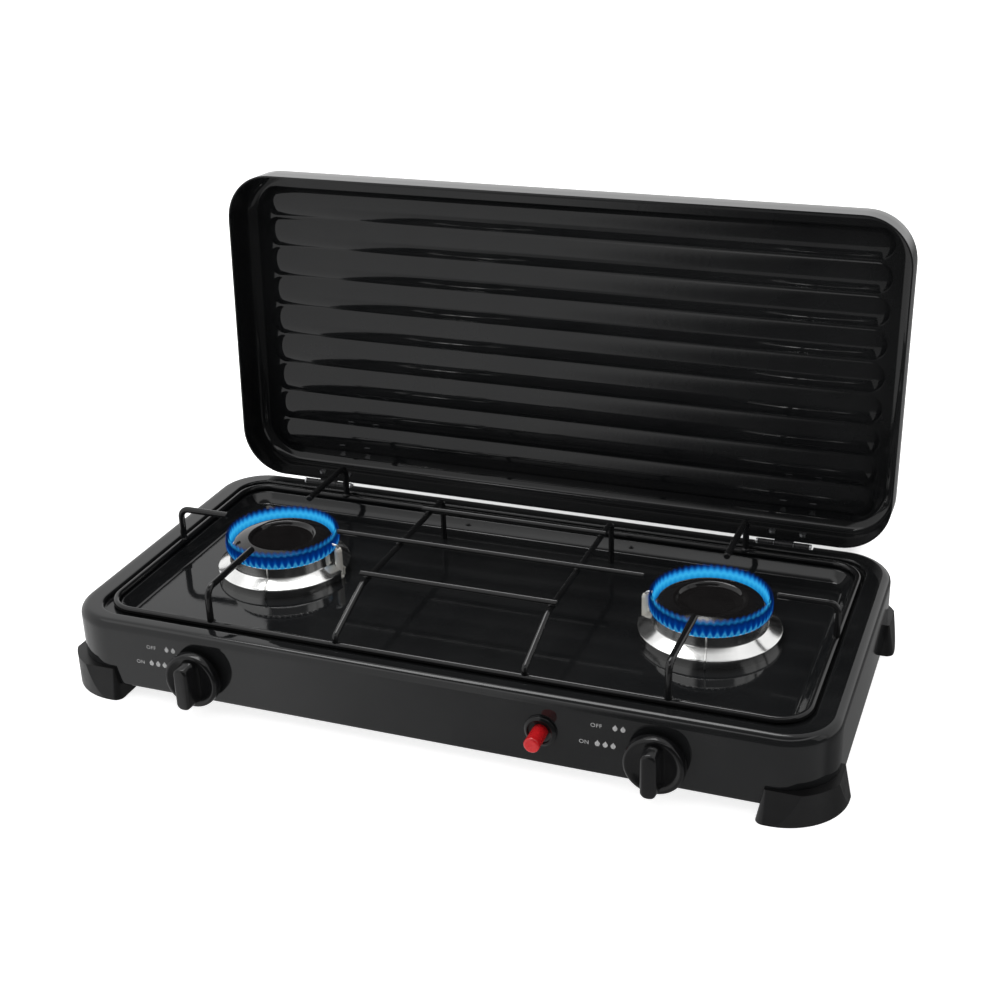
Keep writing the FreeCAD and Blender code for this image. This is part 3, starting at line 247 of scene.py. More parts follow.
# --------------------------------------------------------------- mesh helpers
def add(name, verts, faces, slot_name, body, origin=(0, 0, 0), nodes=(), angle=32.0,
        bevel=0.0, segs=2, material=None, weld=True, clean=True):
    """A piece from points in millimetres, with its object's origin at origin (mm)."""
    me = bpy.data.meshes.new(name)
    o = Vector(origin)
    me.from_pydata([(Vector(v) - o) * MM for v in verts], [], faces)
    bm = bmesh.new()
    bm.from_mesh(me)
    if weld:
        bmesh.ops.remove_doubles(bm, verts=bm.verts, dist=0.00001)
    if clean:
        bmesh.ops.recalc_face_normals(bm, faces=bm.faces)
    bm.to_mesh(me)
    bm.free()
    ob = bpy.data.objects.new(name, me)
    ob.location = o * MM
    scene.collection.objects.link(ob)
    finish(ob, angle, bevel, segs)
    me = ob.data
    me.materials.clear()
    me.materials.append(material or M[slot_name])
    for n in nodes:
        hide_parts(n)
    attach(ob, body)
    return ob


def apply_mods(ob):
    bpy.context.view_layer.update()
    dg = bpy.context.evaluated_depsgraph_get()
    me = bpy.data.meshes.new_from_object(ob.evaluated_get(dg), depsgraph=dg)
    ob.modifiers.clear()
    old = ob.data
    ob.data = me
    me.name = ob.name
    if old.users == 0:
        bpy.data.meshes.remove(old)
    return ob


def finish(ob, angle=32.0, bevel=0.0, segs=2):
    """Soft shading with the edges over angle kept, after a small round on them."""
    if bevel:
        b = ob.modifiers.new("round", "BEVEL")
        b.width = bevel * MM
        b.segments = segs
        b.limit_method = "ANGLE"
        b.angle_limit = math.radians(angle)
        b.use_clamp_overlap = True
        b.harden_normals = False
        apply_mods(ob)
    me = ob.data
    bm = bmesh.new()
    bm.from_mesh(me)
    lim = math.radians(50.0 if bevel else angle)
    for f in bm.faces:
        f.smooth = True
    for e in bm.edges:
        e.smooth = not (len(e.link_faces) == 2 and e.calc_face_angle(0.0) > lim)
    bm.to_mesh(me)
    bm.free()
    return ob


def lathe(profile, seg=96, centre=(0, 0, 0), axis="z", closed=True, radial=None):
    """Points and faces of a profile of (radius, height) turned round an axis."""
    verts, faces = [], []
    n = len(profile)
    for i in range(seg):
        a = 2 * math.pi * i / seg
        for j, (r, h) in enumerate(profile):
            if radial:
                r, h = radial(a, r, h, j)
            x, y = r * math.cos(a), r * math.sin(a)
            p = {"z": (x, y, h), "-y": (x, -h, y), "y": (x, h, -y)}[axis]
            verts.append(tuple(centre[k] + p[k] for k in range(3)))
    for i in range(seg):
        k = (i + 1) % seg
        for j in range(n if closed else n - 1):
            j2 = (j + 1) % n
            if profile[j][0] == 0 and profile[j2][0] == 0:
                continue
            q = [i * n + j, k * n + j, k * n + j2, i * n + j2]
            if profile[j][0] == 0:
                q = [i * n + j, k * n + j2, i * n + j2]
            elif profile[j2][0] == 0:
                q = [i * n + j, k * n + j, i * n + j2]
            faces.append(q)
    return verts, faces


def arc(cr, ch, rad, a0, a1, n=6):
    """Points of an arc in the (radius, height) plane, degrees."""
    return [(cr + rad * math.cos(math.radians(a0 + (a1 - a0) * i / n)),
             ch + rad * math.sin(math.radians(a0 + (a1 - a0) * i / n))) for i in range(n + 1)]


def rring(hx, y0, y1, r, z, nc=12):
    """One level loop of a rounded rectangle."""
    pts = []
    for cx, cy, a0 in ((hx - r, y1 - r, 0), (-hx + r, y1 - r, 90),
                       (-hx + r, y0 + r, 180), (hx - r, y0 + r, 270)):
        for i in range(nc + 1):
            a = math.radians(a0 + 90.0 * i / nc)
            pts.append((cx + r * math.cos(a), cy + r * math.sin(a), z))
    return pts


def loft(rings, close_last=False, close_first=False):
    verts = [p for ring in rings for p in ring]
    n = len(rings[0])
    faces = []
    for k in range(len(rings) - 1):
        for i in range(n):
            j = (i + 1) % n
            faces.append([k * n + i, k * n + j, (k + 1) * n + j, (k + 1) * n + i])
    if close_last:
        faces.append([(len(rings) - 1) * n + i for i in range(n)])
    if close_first:
        faces.append([n - 1 - i for i in range(n)])
    return verts, faces


# ----------------------------------------------------------------- body shell
HX, HY, R0 = 282.5, 138.0, 38.0
rings = []


def outer(inset, z):
    rings.append(rring(HX - inset, -HY + inset, HY - inset, R0 - inset, z))


outer(14.0, 10.5)
outer(8.0, 10.5)
outer(1.6, 10.5)
for t in (25, 50, 75):
    a = math.radians(t)
    outer(1.4 - 1.4 * math.sin(a), 11.9 - 1.4 * math.cos(a))
outer(0.0, 11.9)
outer(0.0, 14.0)
outer(0.0, 30.0)
outer(0.0, 53.0)
for i in range(0, 11):
    a = math.radians(9.0 * i)
    outer(6.5 - 6.5 * math.cos(a), 55.5 + 6.5 * math.sin(a))
outer(9.5, 62.0)


def opening(out, z):
    rings.append(rring(264.0 + out, -124.0 - out, 121.0 + out, 22.0 + out, z))


opening(2.8, 62.0)
for i in range(0, 7):
    a = math.radians(15.0 * i)
    opening(1.9 - 1.9 * math.sin(a), 60.1 + 1.9 * math.cos(a))
for i in range(1, 6):
    a = math.radians(18.0 * i)
    opening(-1.2 + 1.2 * math.cos(a), 58.6 - 1.2 * math.sin(a))


def stepr(out, z):
    rings.append(rring(255.0 + out, -109.5 - out, 109.5 + out, 18.0 + out, z))


stepr(5.0, 57.4)
stepr(1.3, 57.4)
for i in range(1, 5):
    a = math.radians(13.0 * i)
    stepr(1.3 - 1.6 * math.sin(a), 55.8 + 1.6 * math.cos(a))
# down the slope and into the floor
stepr(-2.6, 52.9)
stepr(-5.4, 50.35)
stepr(-6.4, 49.45)
stepr(-7.4, 49.08)
stepr(-8.8, 49.0)
stepr(-12.0, 49.0)
v, f = loft(rings, close_last=True)
body = add("shell_pressing", v, f, "enamel", "base", nodes=("body_shell",), weld=False, clean=False)
bm = bmesh.new()
bm.from_mesh(body.data)
bm.faces.ensure_lookup_table()
floor_face = max(bm.faces, key=lambda g: len(g.verts))
if floor_face.normal.z < 0:
    bmesh.ops.reverse_faces(bm, faces=bm.faces)
bm.to_mesh(body.data)
bm.free()
s = body.modifiers.new("sheet", "SOLIDIFY")
s.thickness = 1.2 * MM
s.offset = -1.0
s.use_even_offset = False
s.use_rim = True
cutters = []
for sgn in (-1, 1):
    bpy.ops.mesh.primitive_cube_add(size=1.0)
    c = bpy.context.object
    c.scale = (0.046, 0.0112, 0.012)
    c.location = (sgn * 0.196, 0.1334, 0.0632)
    d = body.modifiers.new("notch", "BOOLEAN")
    d.operation = "DIFFERENCE"
    d.solver = "EXACT"
    d.object = c
    cutters.append(c)
apply_mods(body)
for c in cutters:
    bpy.data.objects.remove(c, do_unlink=True)
finish(body, 30.0)


# ------------------------------------------------------------------------ lid
AX_Y, AX_Z, OPEN = 131.8, 61.8, math.radians(93.0)


def lid_point(x, v, h):
    """x across, v forward from the closed lid's rear face, h above its lip."""
    dy, dz = (129.0 - v) - AX_Y, (62.8 + h) - AX_Z
    return (x, AX_Y + dy * math.cos(OPEN) + dz * math.sin(OPEN),
            AX_Z - dy * math.sin(OPEN) + dz * math.cos(OPEN))


LX, LY, LR, LD, SH = 275.5, 257.0, 38.0, 33.5, 1.2
PITCH, HALF, DEEP = 25.4, 12.3, 3.5
CURV = (HALF ** 2 + DEEP ** 2) / (2 * DEEP)
SPINE = 258.5 - HALF
flat = LD - SH


def flute(rho):
    """Height of a flute at a distance from its spine, with a fillet at its foot."""
    def dome(q):
        return math.sqrt(CURV ** 2 - q ** 2) - (CURV - DEEP)

    r0, r1 = 10.3, 12.62
    if rho <= r0:
        return dome(rho)
    if rho >= r1:
        return 0.0
    t_ = (rho - r0) / (r1 - r0)
    slope = -r0 / math.sqrt(CURV ** 2 - r0 ** 2) * (r1 - r0)
    return max(dome(r0) * (2 * t_ ** 3 - 3 * t_ ** 2 + 1) + slope * (t_ ** 3 - 2 * t_ ** 2 + t_), 0.0)


inner_rhos = [0.0, 1.5, 3.0, 4.5, 6.0, 7.4, 8.6, 9.5, 10.2, 10.7, 11.15, 11.6, 12.0, 12.35, 12.6]
NS, NE = 30, 24
lid_v, lid_f = [], []
loops2d = []
for k in range(9):
    vc = LY / 2 + (k - 4) * PITCH
    prev = None
    for rho in inner_rhos:
        loop = []
        depth = flute(rho)
        for i in range(NS + 1):
            loop.append((-SPINE + 2 * SPINE * i / NS, -rho))
        for i in range(1, NE):
            a = math.radians(-90.0 + 180.0 * i / NE)
            loop.append((SPINE + rho * math.cos(a), rho * math.sin(a)))
        for i in range(NS + 1):
            loop.append((SPINE - 2 * SPINE * i / NS, rho))
        for i in range(1, NE):
            a = math.radians(90.0 + 180.0 * i / NE)
            loop.append((-SPINE + rho * math.cos(a), rho * math.sin(a)))
        start = len(lid_v)
        for x, u in loop:
            lid_v.append(lid_point(x, vc + u, flat - depth))
        n = len(loop)
        if prev is not None:
            for i in range(n):
                j = (i + 1) % n
                lid_f.append([prev + i, prev + j, start + j, start + i])
        prev = start
    loops2d.append((prev, [(x, vc + u) for x, u in loop]))

# the rounded edge and the skirt
edge_rings = []
er = 10.0 - SH


def lring(inset, h, nc=14):
    pts = [(p[0], p[1]) for p in rring(LX - inset, inset, LY - inset, LR - inset, 0, nc)]
    start = len(lid_v)
    for x, vv in pts:
        lid_v.append(lid_point(x, vv, h))
    edge_rings.append((start, pts))


lring(10.6, flat)
for i in range(0, 9):
    a = math.radians(90.0 - 11.25 * i)
    lring(10.0 - er * math.cos(a), flat - er + er * math.sin(a))
lring(SH, 12.0)
lring(SH, 4.0)
lring(SH, 2.6)
lring(SH, 1.2)
lring(SH, 0.0)
for (s0, p0), (s1, p1) in zip(edge_rings, edge_rings[1:]):
    n = len(p0)
    for i in range(n):
        j = (i + 1) % n
        lid_f.append([s0 + i, s0 + j, s1 + j, s1 + i])
# flat web between the flutes and the edge
pts, edges, owner = [], [], []
for start, loop in loops2d + [edge_rings[0]]:
    b0 = len(pts)
    for i, (x, vv) in enumerate(loop):
        pts.append(Vector((x, vv)))
        owner.append(start + i)
        edges.append((b0 + i, b0 + (i + 1) % len(loop)))
out_v, _, out_f, orig_v, _, _ = delaunay_2d_cdt(pts, edges, [], 1, 1e-5)
for tri in out_f:
    cx = sum(out_v[i][0] for i in tri) / len(tri)
    cv = sum(out_v[i][1] for i in tri) / len(tri)
    inside = False
    for k in range(9):
        vc = LY / 2 + (k - 4) * PITCH
        dx = max(abs(cx) - SPINE, 0.0)
        if math.hypot(dx, cv - vc) < 12.55:
            inside = True
    if inside or not all(orig_v[i] for i in tri):
        continue
    lid_f.append([owner[orig_v[i][0]] for i in tri])
lid = add("lid_pressing", lid_v, lid_f, "enamel", "lid", nodes=("lid_shell",))
bm = bmesh.new()
bm.from_mesh(lid.data)
bm.faces.ensure_lookup_table()
# the inner side faces the front when the lid stands open
low = min(bm.faces, key=lambda g: (g.calc_center_median() - Vector((0, 0.165, 0.19))).length)
if low.normal.y > 0:
    bmesh.ops.reverse_faces(bm, faces=bm.faces)
bm.to_mesh(lid.data)
bm.free()
s = lid.modifiers.new("sheet", "SOLIDIFY")
s.thickness = (SH - 0.02) * MM
s.offset = -1.0
s.use_even_offset = False
s.use_rim = True
apply_mods(lid)
finish(lid, 34.0)

# -------------------------------------------------------------------- burners
N_JETS = 54


def flame_material():
    m = Mat("flame_blue_gas")
    nt = m.nt
    nt.nodes.remove(m.b)
    sep = m.node("SeparateXYZ", Vector=m.co)
    x, y, z = sep.outputs
    rad = m.math("SQRT", m.math("ADD", m.math("MULTIPLY", x, x), m.math("MULTIPLY", y, y)))
    ang = m.math("ARCTAN2", y, x)
    jet = m.math("ABSOLUTE", m.math("SINE", m.math("MULTIPLY", ang, N_JETS / 2)))
    jet = m.math("POWER", jet, 1.8)
    grain = m.noise(420.0, 3.0, 0.6)
    height = m.math("MULTIPLY", z, 1000.0)
    # outside: bright feet with spikes, deep blue above them
    spike = m.math("ADD", m.math("SUBTRACT", height, m.math("MULTIPLY", jet, 4.6)),
                   m.math("MULTIPLY", grain, 1.2))
    outside = m.ramp(m.span(spike, 0.0, 1.0, 65.0, 78.5), [
        (0.00, (0.004, 0.13, 0.38)), (0.14, (0.02, 0.34, 0.62)), (0.30, (0.08, 0.52, 0.80)),
        (0.42, (0.015, 0.25, 0.54)), (0.52, (0.002, 0.06, 0.24)), (0.66, (0.001, 0.02, 0.11)),
        (1.00, (0.001, 0.010, 0.06))])
    inside = m.ramp(m.span(m.math("SUBTRACT", height, m.math("MULTIPLY", jet, 1.0)), 0.0, 1.0,
                           70.5, 84.5), [
        (0.00, (0.004, 0.11, 0.34)), (0.26, (0.015, 0.29, 0.64)), (0.46, (0.04, 0.44, 0.82)),
        (0.64, (0.015, 0.26, 0.68)), (0.82, (0.002, 0.06, 0.34)), (1.00, (0.001, 0.02, 0.18))])
    side = m.span(rad, 0.0, 1.0, 0.0411, 0.0419)
    mix = nt.nodes.new("ShaderNodeMix")
    mix.data_type = "RGBA"
    m.link(side, mix.inputs[0]).link(inside, mix.inputs[6]).link(outside, mix.inputs[7])
    em = m.node("Emission", Color=mix.outputs[2], Strength=1.0)
    tr = nt.nodes.new("ShaderNodeBsdfTransparent")
    fade = m.math("ADD", height, m.math("MULTIPLY", m.math("SUBTRACT", 1.0, jet), 1.2))
    fade = m.math("ADD", fade, m.math("MULTIPLY", grain, 2.0))
    alpha = m.span(fade, 1.0, 0.0, 81.0, 85.5)
    ms = m.node("MixShader", Fac=alpha)
    m.link(tr.outputs[0], ms.inputs[1]).link(em.outputs[0], ms.inputs[2])
    m.link(ms.outputs[0], m.out.inputs["Surface"])
    return m.m


def glow_material():
    m = Mat("flame_blue_glow")
    nt = m.nt
    nt.nodes.remove(m.b)
    sep = m.node("SeparateXYZ", Vector=m.co)
    height = m.math("MULTIPLY", sep.outputs[2], 1000.0)
    grain = m.noise(240.0, 3.0, 0.6)
    col = m.ramp(grain, [(0.3, (0.0, 0.02, 0.18)), (0.7, (0.0, 0.04, 0.28))])
    em = m.node("Emission", Color=col, Strength=1.0)
    tr = nt.nodes.new("ShaderNodeBsdfTransparent")
    a = m.math("MULTIPLY", m.span(height, 0.0, 0.34, 69.0, 72.0),
               m.span(height, 1.0, 0.0, 75.0, 82.0))
    ms = m.node("MixShader", Fac=a)
    m.link(tr.outputs[0], ms.inputs[1]).link(em.outputs[0], ms.inputs[2])
    m.link(ms.outputs[0], m.out.inputs["Surface"])
    return m.m


M["flame"] = flame_material()
M["glow"] = glow_material()

for side, sgn in (("left", -1), ("right", 1)):
    cx = 170.0 * sgn
    org = (cx, 0.0, 0.0)
    Z0 = 49.0
    # polished ring: foot on the floor, neck, wide cone and upright collar
    prof = ([(26.9, Z0 + 0.03), (42.9, Z0 + 0.03), (43.0, Z0 + 0.3), (42.8, Z0 + 1.5),
             (36.6, Z0 + 1.5), (36.2, Z0 + 2.0), (36.2, Z0 + 12.3), (39.6, Z0 + 11.15),
             (49.3, Z0 + 6.4), (49.3, Z0 + 0.05), (50.5, Z0 + 0.05), (50.6, Z0 + 5.6),
             (50.75, Z0 + 6.1)] + arc(51.0, Z0 + 6.8, 0.5, -50, 60, 5)
            + [(50.6, Z0 + 7.55), (46.2, Z0 + 9.85), (42.5, Z0 + 11.75)]
            + [(41.95, Z0 + 12.15), (41.72, Z0 + 12.7), (41.65, Z0 + 13.3), (41.42, Z0 + 19.6)]
            + arc(40.9, Z0 + 19.95, 0.5, 10, 90, 4)
            + [(40.1, Z0 + 20.4), (39.75, Z0 + 20.1), (39.5, Z0 + 16.55), (35.6, Z0 + 16.45),
               (35.5, Z0 + 11.03), (30.05, Z0 + 11.0), (30.0, Z0 + 1.5), (26.9, Z0 + 1.5)])
    v, f = lathe(prof, 144, org)
    ring = add("burner_ring_turned_" + side, v, f, "polished_alloy", "base", origin=org,
               nodes=("burner_ring_" + side,), angle=28.0)
    # notch that the spark pin's insulator stands in
    nx = cx - sgn * 47.5
    bpy.ops.mesh.primitive_cylinder_add(radius=3.6 * MM, depth=16.0 * MM, vertices=32,
                                        location=(nx * MM, 0, 56.0 * MM))
    c1 = bpy.context.object
    bpy.ops.mesh.primitive_cube_add(size=1.0, location=((nx - sgn * 5.0) * MM, 0, 56.0 * MM))
    c2 = bpy.context.object
    c2.scale = (10.0 * MM, 7.2 * MM, 16.0 * MM)
    for c in (c1, c2):
        d = ring.modifiers.new("notch", "BOOLEAN")
        d.operation = "DIFFERENCE"
        d.solver = "EXACT"
        d.object = c
    apply_mods(ring)
    for c in (c1, c2):
        bpy.data.objects.remove(c, do_unlink=True)
    finish(ring, 28.0)
    # the seam that is pressed down the cone and the collar
    sv, sf = [], []
    a0 = math.radians(-80.0)
    line = ((50.5, 49.3), (50.6, 54.9), (51.4, 55.9), (51.15, 56.75), (46.2, 59.1), (42.5, 61.0), (41.75, 62.0), (41.45, 69.2))
    for j, (r, z) in enumerate(line):
        for da in (-0.019, -0.009, 0.009, 0.019):
            rr = r + (0.12 if abs(da) < 0.01 else -0.25)
            sv.append((cx + rr * math.cos(a0 + da), rr * math.sin(a0 + da), z))
    for j in range(len(line) - 1):
        for i in range(3):
            sf.append([j * 4 + i, j * 4 + i + 1, (j + 1) * 4 + i + 1, (j + 1) * 4 + i])
    seam_ob = add("burner_seam_" + side, sv, sf, "cast_alloy", "base", origin=org)
    th = seam_ob.modifiers.new("t", "SOLIDIFY")
    th.thickness = 0.25 * MM
    apply_mods(seam_ob)

    # port head: slotted crown
    H = 38.5
    n = 54
    hv, hf = [], []
    levels = [(24.0, 60.0), (34.5, 60.0), (34.5, 66.0), (38.1, 66.0), (38.5, 66.4)]
    seg = n * 4
    prof = [(24.0, 60.0), (34.5, 60.0), (34.5, 66.0), (38.1, 66.0), (38.5, 66.4), (38.5, 68.2),
            (38.5, 72.1), (38.1, 72.5), (31.0, 72.5), (31.0, 66.0), (27.0, 63.0), (24.0, 63.0)]

    def slot_cut(a, r, h, j, n=n):
        ph = (a * n / (2 * math.pi)) % 1.0
        if j in (6, 7) and 0.3 < ph < 0.8:
            return r, 68.4 if j == 6 else 68.4
        if j == 8 and 0.3 < ph < 0.8:
            return r, 68.6
        return r, h

    v, f = lathe(prof, seg, org, radial=slot_cut)
    add("burner_crown_" + side, v, f, "cast_alloy", "base", origin=org,
        nodes=("burner_head_" + side,), angle=25.0)

    # cap: flat annulus, rolled bead, dished middle and locating skirt
    Z2 = 72.6
    prof = ([(0.0, Z2 + 0.05), (28.5, Z2 + 0.05), (28.5, Z2 - 2.9), (30.5, Z2 - 2.9),
             (30.5, Z2 + 0.05), (36.3, Z2 + 0.05)] + arc(36.9, Z2 + 1.3, 1.0, -70, 60, 5)
            + [(35.6, Z2 + 3.1), (33.0, Z2 + 3.9)] + arc(26.6, Z2 + 2.9, 2.55, 75, 160, 8)
            + [(23.4, Z2 + 2.75), (22.0, Z2 + 2.3), (16.0, Z2 + 2.15), (8.0, Z2 + 2.1),
               (0.0, Z2 + 2.1)])
    v, f = lathe(prof, 144, org)
    add("burner_cap_pressed_" + side, v, f, "cap_enamel", "cap_" + side, origin=org,
        nodes=("burner_cap_" + side,), angle=34.0)

    # gas flames: a lobed skirt of fire round the ports
    prof = [(40.3, 69.7), (42.1, 69.5), (43.2, 71.2), (43.6, 74.5), (43.4, 79.0), (42.8, 83.5),
            (42.0, 86.8), (41.1, 84.0), (40.6, 79.5), (40.1, 75.0), (39.9, 71.4)]

    def lobes(a, r, h, j):
        c = abs(math.sin(a * N_JETS / 2))
        w = 0.55 + 0.45 * noise.noise(Vector((math.cos(a) * 3, math.sin(a) * 3, sgn * 2.0)))
        if j in (1, 2, 3, 4, 5):
            r -= 0.8 * (1 - c)
        if j in (5, 6, 7):
            h -= (1 - c) * 0.8 + w * 1.2
        return r, h

    v, f = lathe(prof, N_JETS * 6, org, radial=lobes)
    fl = add("flame_" + side, v, f, None, "base", origin=org, material=M["flame"], angle=60.0)
    prof = [(41.6, 69.6), (43.2, 70.0), (44.1, 72.5), (44.3, 77.0), (43.9, 82.0), (43.0, 86.0),
            (43.5, 81.5), (43.9, 77.0), (43.7, 72.8), (43.0, 70.6)]
    v, f = lathe(prof, 96, org)
    gl = add("flame_glow_" + side, v, f, None, "base", origin=org, material=M["glow"], angle=60.0)
    for o in (fl, gl):
        o.visible_glossy = False
        o.visible_shadow = False


# ---------------------------------------------------------------------- knobs
def knob(side, sgn):
    cx, zc, y0 = 170.0 * sgn, 31.5, 142.6
    # lathe heights are measured forward from the wall side, along -Y
    prof = ([(19.2, y0 + 0.05), (20.6, y0 + 0.05)] + arc(20.35, y0 + 0.6, 0.6, -60, 0, 3)
            + [(20.9, y0 + 4.9)] + arc(18.6, y0 + 5.2, 2.2, 0, 78, 6)
            + [(17.6, y0 + 7.25), (15.0, y0 + 6.3), (11.5, y0 + 5.6), (7.0, y0 + 5.35),
               (0.0, y0 + 5.3), (0.0, y0 + 4.0), (18.9, y0 + 4.0)])
    v, f = lathe(prof, 96, (cx, 0, zc), "-y")
    # tall grip: rounded bar, its faces drawn in towards the front
    gv, gf = [], []
    hw, hh, r = 6.1, 16.8, 5.0

    def loop(w, h, rr, y):
        pts = []
        for px, pz, a0 in ((w - rr, h - rr, 0), (-w + rr, h - rr, 90), (-w + rr, -h + rr, 180),
                           (w - rr, -h + rr, 270)):
            for i in range(7):
                a = math.radians(a0 + 15.0 * i)
                pts.append((cx + px + rr * math.cos(a), -y, zc + pz + rr * math.sin(a)))
        return pts

    rr_ = [loop(hw + 1.4, hh + 1.2, r + 1.0, y0 + 4.6), loop(hw + 0.7, hh + 0.6, r + 0.4, y0 + 5.9),
           loop(hw, hh, r, y0 + 7.6), loop(hw - 0.3, hh - 0.1, r - 0.2, y0 + 12.0),
           loop(hw - 0.7, hh - 0.3, r - 0.5, y0 + 17.8)]
    for i in range(1, 6):
        a = math.radians(18.0 * i)
        d = 1.9 * (1 - math.cos(a))
        rr_.append(loop(hw - 0.7 - d, hh - 0.3 - d, max(r - 0.5 - d * 0.8, 1.2),
                        y0 + 17.8 + 1.9 * math.sin(a)))
    bv, bf = loft(rr_, close_last=True, close_first=True)
    off = len(v)
    v = v + bv
    f = f + [[i + off for i in q] for q in bf]
    return add("knob_moulding_" + side, v, f, "knob_plastic", "knob_" + side,
               origin=(cx, -y0, zc), nodes=("knob_" + side,), angle=34.0)


knob("left", -1)
knob("right", 1)

# -------------------------------------------------------------- igniter button
bx_, bz_ = 90.0, 36.5
prof = ([(0.0, 123.9), (5.45, 123.9), (5.45, 156.3)] + arc(4.0, 156.4, 1.5, 0, 90, 6)
        + [(2.4, 157.75), (0.0, 157.6)])
v, f = lathe(prof, 64, (bx_, 0, bz_), "-y")
add("button_moulding", v, f, "button_plastic", "igniter", origin=(bx_, -158.0, bz_),
    nodes=("igniter_button",), angle=34.0)
prof = ([(5.75, 136.9), (7.35, 136.9), (7.35, 138.05), (11.4, 138.05)]
        + arc(10.3, 139.3, 1.15, -60, 60, 6) + arc(9.2, 140.3, 0.9, 60, 150, 5)
        + [(8.2, 139.6), (7.2, 139.3), (5.75, 139.3)])
v, f = lathe(prof, 72, (bx_, 0, bz_), "-y")
add("collar_moulding", v, f, "knob_plastic", "base", origin=(bx_, -138.0, bz_),
    nodes=("igniter_collar",), angle=40.0)


# ----------------------------------------------------------------- weld beads
def beads():
    vs, fs = [], []

    def bead(p, r, squash=(1, 1, 1)):
        bm = bmesh.new()
        bmesh.ops.create_icosphere(bm, subdivisions=3, radius=r)
        for w in bm.verts:
            w.co *= 1.0 + 0.16 * noise.noise(w.co * 0.9 + Vector(p) * 0.37)
            w.co = Vector((w.co.x * squash[0], w.co.y * squash[1], w.co.z * squash[2]))
        off = len(vs)
        vs.extend(tuple(w.co + Vector(p)) for w in bm.verts)
        fs.extend([x.index + off for x in q.verts] for q in bm.faces)
        bm.free()

    for sgn in (-1, 1):
        bead((sgn * 258.2, 0.0, 61.9), 2.6, (0.8, 1.35, 0.8))
        for y in (-1, 1):
            bead((sgn * 170.0, y * 112.8, 61.9), 2.6, (1.35, 0.8, 0.8))
        bead((sgn * 70.5, -112.9, 61.8), 2.5, (1.3, 0.8, 0.75))
        bead((sgn * 70.5, -57.5, 86.2), 2.35, (1.0, 1.2, 0.75))
        bead((sgn * 70.5, 57.5, 86.2), 2.35, (1.0, 1.2, 0.75))
        bead((sgn * 70.5, 0.0, 86.2), 2.35, (1.0, 1.2, 0.75))
    return vs, fs


v, f = beads()
add("weld_beads", v, f, "wire_enamel", "grid", angle=60.0)


# --------------------------------------------------------------- front marks
def letters(name, body_text, x, z, size):
    cu = bpy.data.curves.new(name, "FONT")
    cu.body = body_text
    cu.size = size * MM
    cu.extrude = 0.02 * MM
    cu.space_character = 1.12
    ob = bpy.data.objects.new(name, cu)
    ob.location = (x * MM, -138.06 * MM, z * MM)
    ob.rotation_euler = (math.radians(90.0), 0, 0)
    scene.collection.objects.link(ob)
    bpy.context.view_layer.update()
    dg = bpy.context.evaluated_depsgraph_get()
    me = bpy.data.meshes.new_from_object(ob.evaluated_get(dg), depsgraph=dg)
    me.transform(ob.matrix_world)
    bpy.data.objects.remove(ob, do_unlink=True)
    out = bpy.data.objects.new(name, me)
    scene.collection.objects.link(out)
    me.materials.clear()
    me.materials.append(M["print"])
    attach(out, "base")
    return out


def flame_mark(name, x, z, h):
    """A plain teardrop mark: a round foot that narrows to a point at its top."""
    pts = []
    for i in range(28):
        t = 2 * math.pi * i / 28
        w = math.sin(t) * (0.34 + 0.05 * math.cos(t)) * h * (1 - 0.35 * max(0.0, -math.cos(t)))
        y = -math.cos(t) * 0.5 * h
        if y > 0:
            w *= (1 - (y / (0.5 * h)) ** 1.4) ** 0.9
        pts.append((x + w + 0.06 * h * (y / h + 0.5), z + 0.5 * h + y))
    vs = [(px, -138.04, pz) for px, pz in pts] + [(px, -138.09, pz) for px, pz in pts]
    n = len(pts)
    fs = [list(range(n)), [2 * n - 1 - i for i in range(n)]]
    fs += [[i, (i + 1) % n, n + (i + 1) % n, n + i] for i in range(n)]
    return add(name, vs, fs, None, "base", material=M["print"], angle=40.0, weld=False)


for side, x_off, x_on, z_off, z_on in (("left", -211.0, -221.0, 45.4, 32.0),
                                       ("right", 124.5, 116.5, 46.6, 32.6)):
    letters("mark_off_" + side, "OFF", x_off, z_off, 4.2)
    for k in range(2):
        flame_mark("mark_off_flame_%s_%d" % (side, k), x_off + 16.6 + 5.4 * k, z_off - 0.4, 4.8)
    letters("mark_on_" + side, "ON", x_on, z_on, 4.2)
    for k in range(3):
        flame_mark("mark_on_flame_%s_%d" % (side, k), x_on + 12.6 + 5.4 * k, z_on - 0.4, 5.0)


# ------------------------------------------------------------- floor and light
def floor():
    me = bpy.data.meshes.new("floor")
    me.from_pydata([(-9, -9, 0), (9, -9, 0), (9, 9, 0), (-9, 9, 0)], [], [(0, 1, 2, 3)])
    ob = bpy.data.objects.new("floor", me)
    scene.collection.objects.link(ob)
    m = Mat("floor_pale", Roughness=0.9)
    m.color(m.ramp(m.noise(3.0, 3.0), [(0.3, (0.70, 0.70, 0.70)), (0.7, (0.74, 0.74, 0.74))]))
    m.b.inputs["Emission Color"].default_value = (1.0, 1.0, 1.0, 1.0)
    # painted shade: a fixed dim patch in the floor's glow that stands in for the shade the body and
    # its open lid leave on the table behind them
    sep = m.node("SeparateXYZ", Vector=m.co)
    ax = m.math("ABSOLUTE", m.math("ADD", sep.outputs[0], 0.02))
    ay = m.math("ABSOLUTE", m.math("SUBTRACT", sep.outputs[1], 0.19))
    shade = m.math("MULTIPLY", m.span(ax, 1.0, 0.0, 0.25, 0.28), m.span(ay, 1.0, 0.0, 0.10, 0.20))
    m.link(m.span(shade, 0.80, 0.0), m.b.inputs["Emission Strength"])
    me.materials.append(m.m)
    ob.visible_glossy = False


floor()


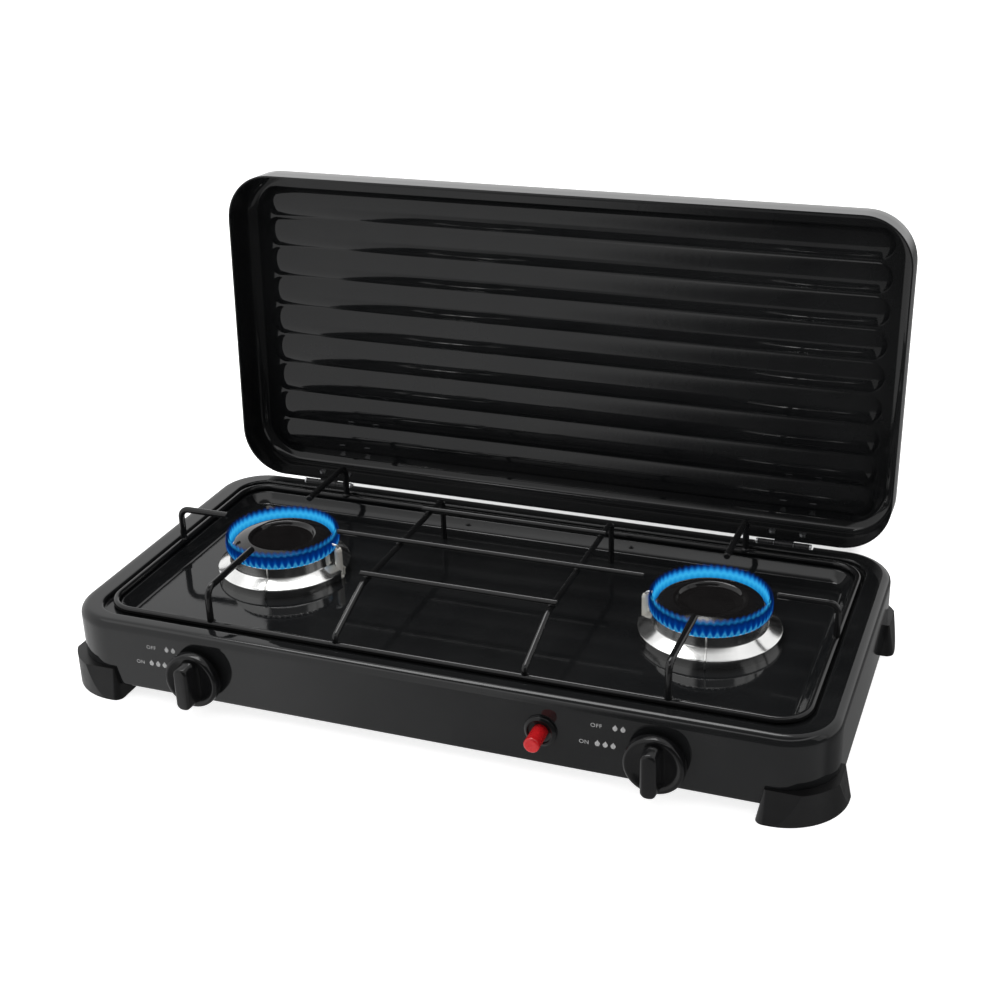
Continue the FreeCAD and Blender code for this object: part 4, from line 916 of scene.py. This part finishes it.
def area(name, loc, target, size_x, size_y, power, color=(1, 1, 1)):
    li = bpy.data.lights.new(name, "AREA")
    li.shape = "RECTANGLE"
    li.size, li.size_y = size_x, size_y
    li.energy = power
    li.color = color
    ob = bpy.data.objects.new(name, li)
    ob.location = loc
    d = Vector(target) - Vector(loc)
    ob.rotation_euler = d.to_track_quat("-Z", "Y").to_euler()
    scene.collection.objects.link(ob)
    return ob


area("soft_top", (-0.45, 0.55, 1.9), (-0.1, 0.1, 0.1), 1.3, 0.8, 18.0)
area("soft_right", (1.9, -0.3, 0.9), (0.1, 0.0, 0.15), 0.7, 1.2, 2.0)

world = bpy.data.worlds.new("studio")
scene.world = world
world.use_nodes = True
wn = world.node_tree
bg = wn.nodes["Background"]


def wnode(kind, *ins, **props):
    n = wn.nodes.new("ShaderNode" + kind)
    for k, val in props.items():
        setattr(n, k, val)
    for i, val in enumerate(ins):
        if isinstance(val, bpy.types.NodeSocket):
            wn.links.new(val, n.inputs[i])
        elif val is not None:
            n.inputs[i].default_value = val
    return n.outputs[0]


def step_(val, a, b, lo=0.0, hi=1.0):
    """Smooth rise from lo at a to hi at b."""
    return wnode("MapRange", val, a, b, lo, hi, interpolation_type="SMOOTHSTEP")


def blend(f, a, b):
    d = wnode("Math", b, a, operation="SUBTRACT")
    return wnode("Math", wnode("Math", f, d, operation="MULTIPLY"), a, operation="ADD")


# a studio of panels: pale behind, pale at the left front, dark at the right
# front with a bright strip high up, and a table that darkens to the right
tc = wn.nodes.new("ShaderNodeTexCoord")
sp = wn.nodes.new("ShaderNodeSeparateXYZ")
wn.links.new(tc.outputs["Generated"], sp.inputs[0])
dx_, dy_, dz_ = sp.outputs
turn_ = wnode("Math", dx_, wnode("Math", dy_, -0.29, operation="MULTIPLY"), operation="ADD")
side_ = step_(turn_, -0.05, 0.09)
front = blend(side_, 1.05, 0.10)
front = blend(step_(dz_, 0.72, 0.79), front, 1.8)
front = blend(step_(dz_, 0.85, 0.91), front, 0.20)
low_f = step_(dx_, -0.50, -0.28, 1.10, 0.48)
front = blend(step_(dz_, -0.37, -0.29), low_f, front)
rear = blend(step_(dz_, -0.20, 0.02), step_(dx_, -0.15, 0.10, 0.75, 0.16), 0.98)
lum = blend(step_(dy_, -0.10, 0.25), front, rear)
cc = wn.nodes.new("ShaderNodeCombineColor")
for i in range(3):
    wn.links.new(lum, cc.inputs[i])
wn.links.new(cc.outputs[0], bg.inputs["Color"])
bg.inputs["Strength"].default_value = 1.0
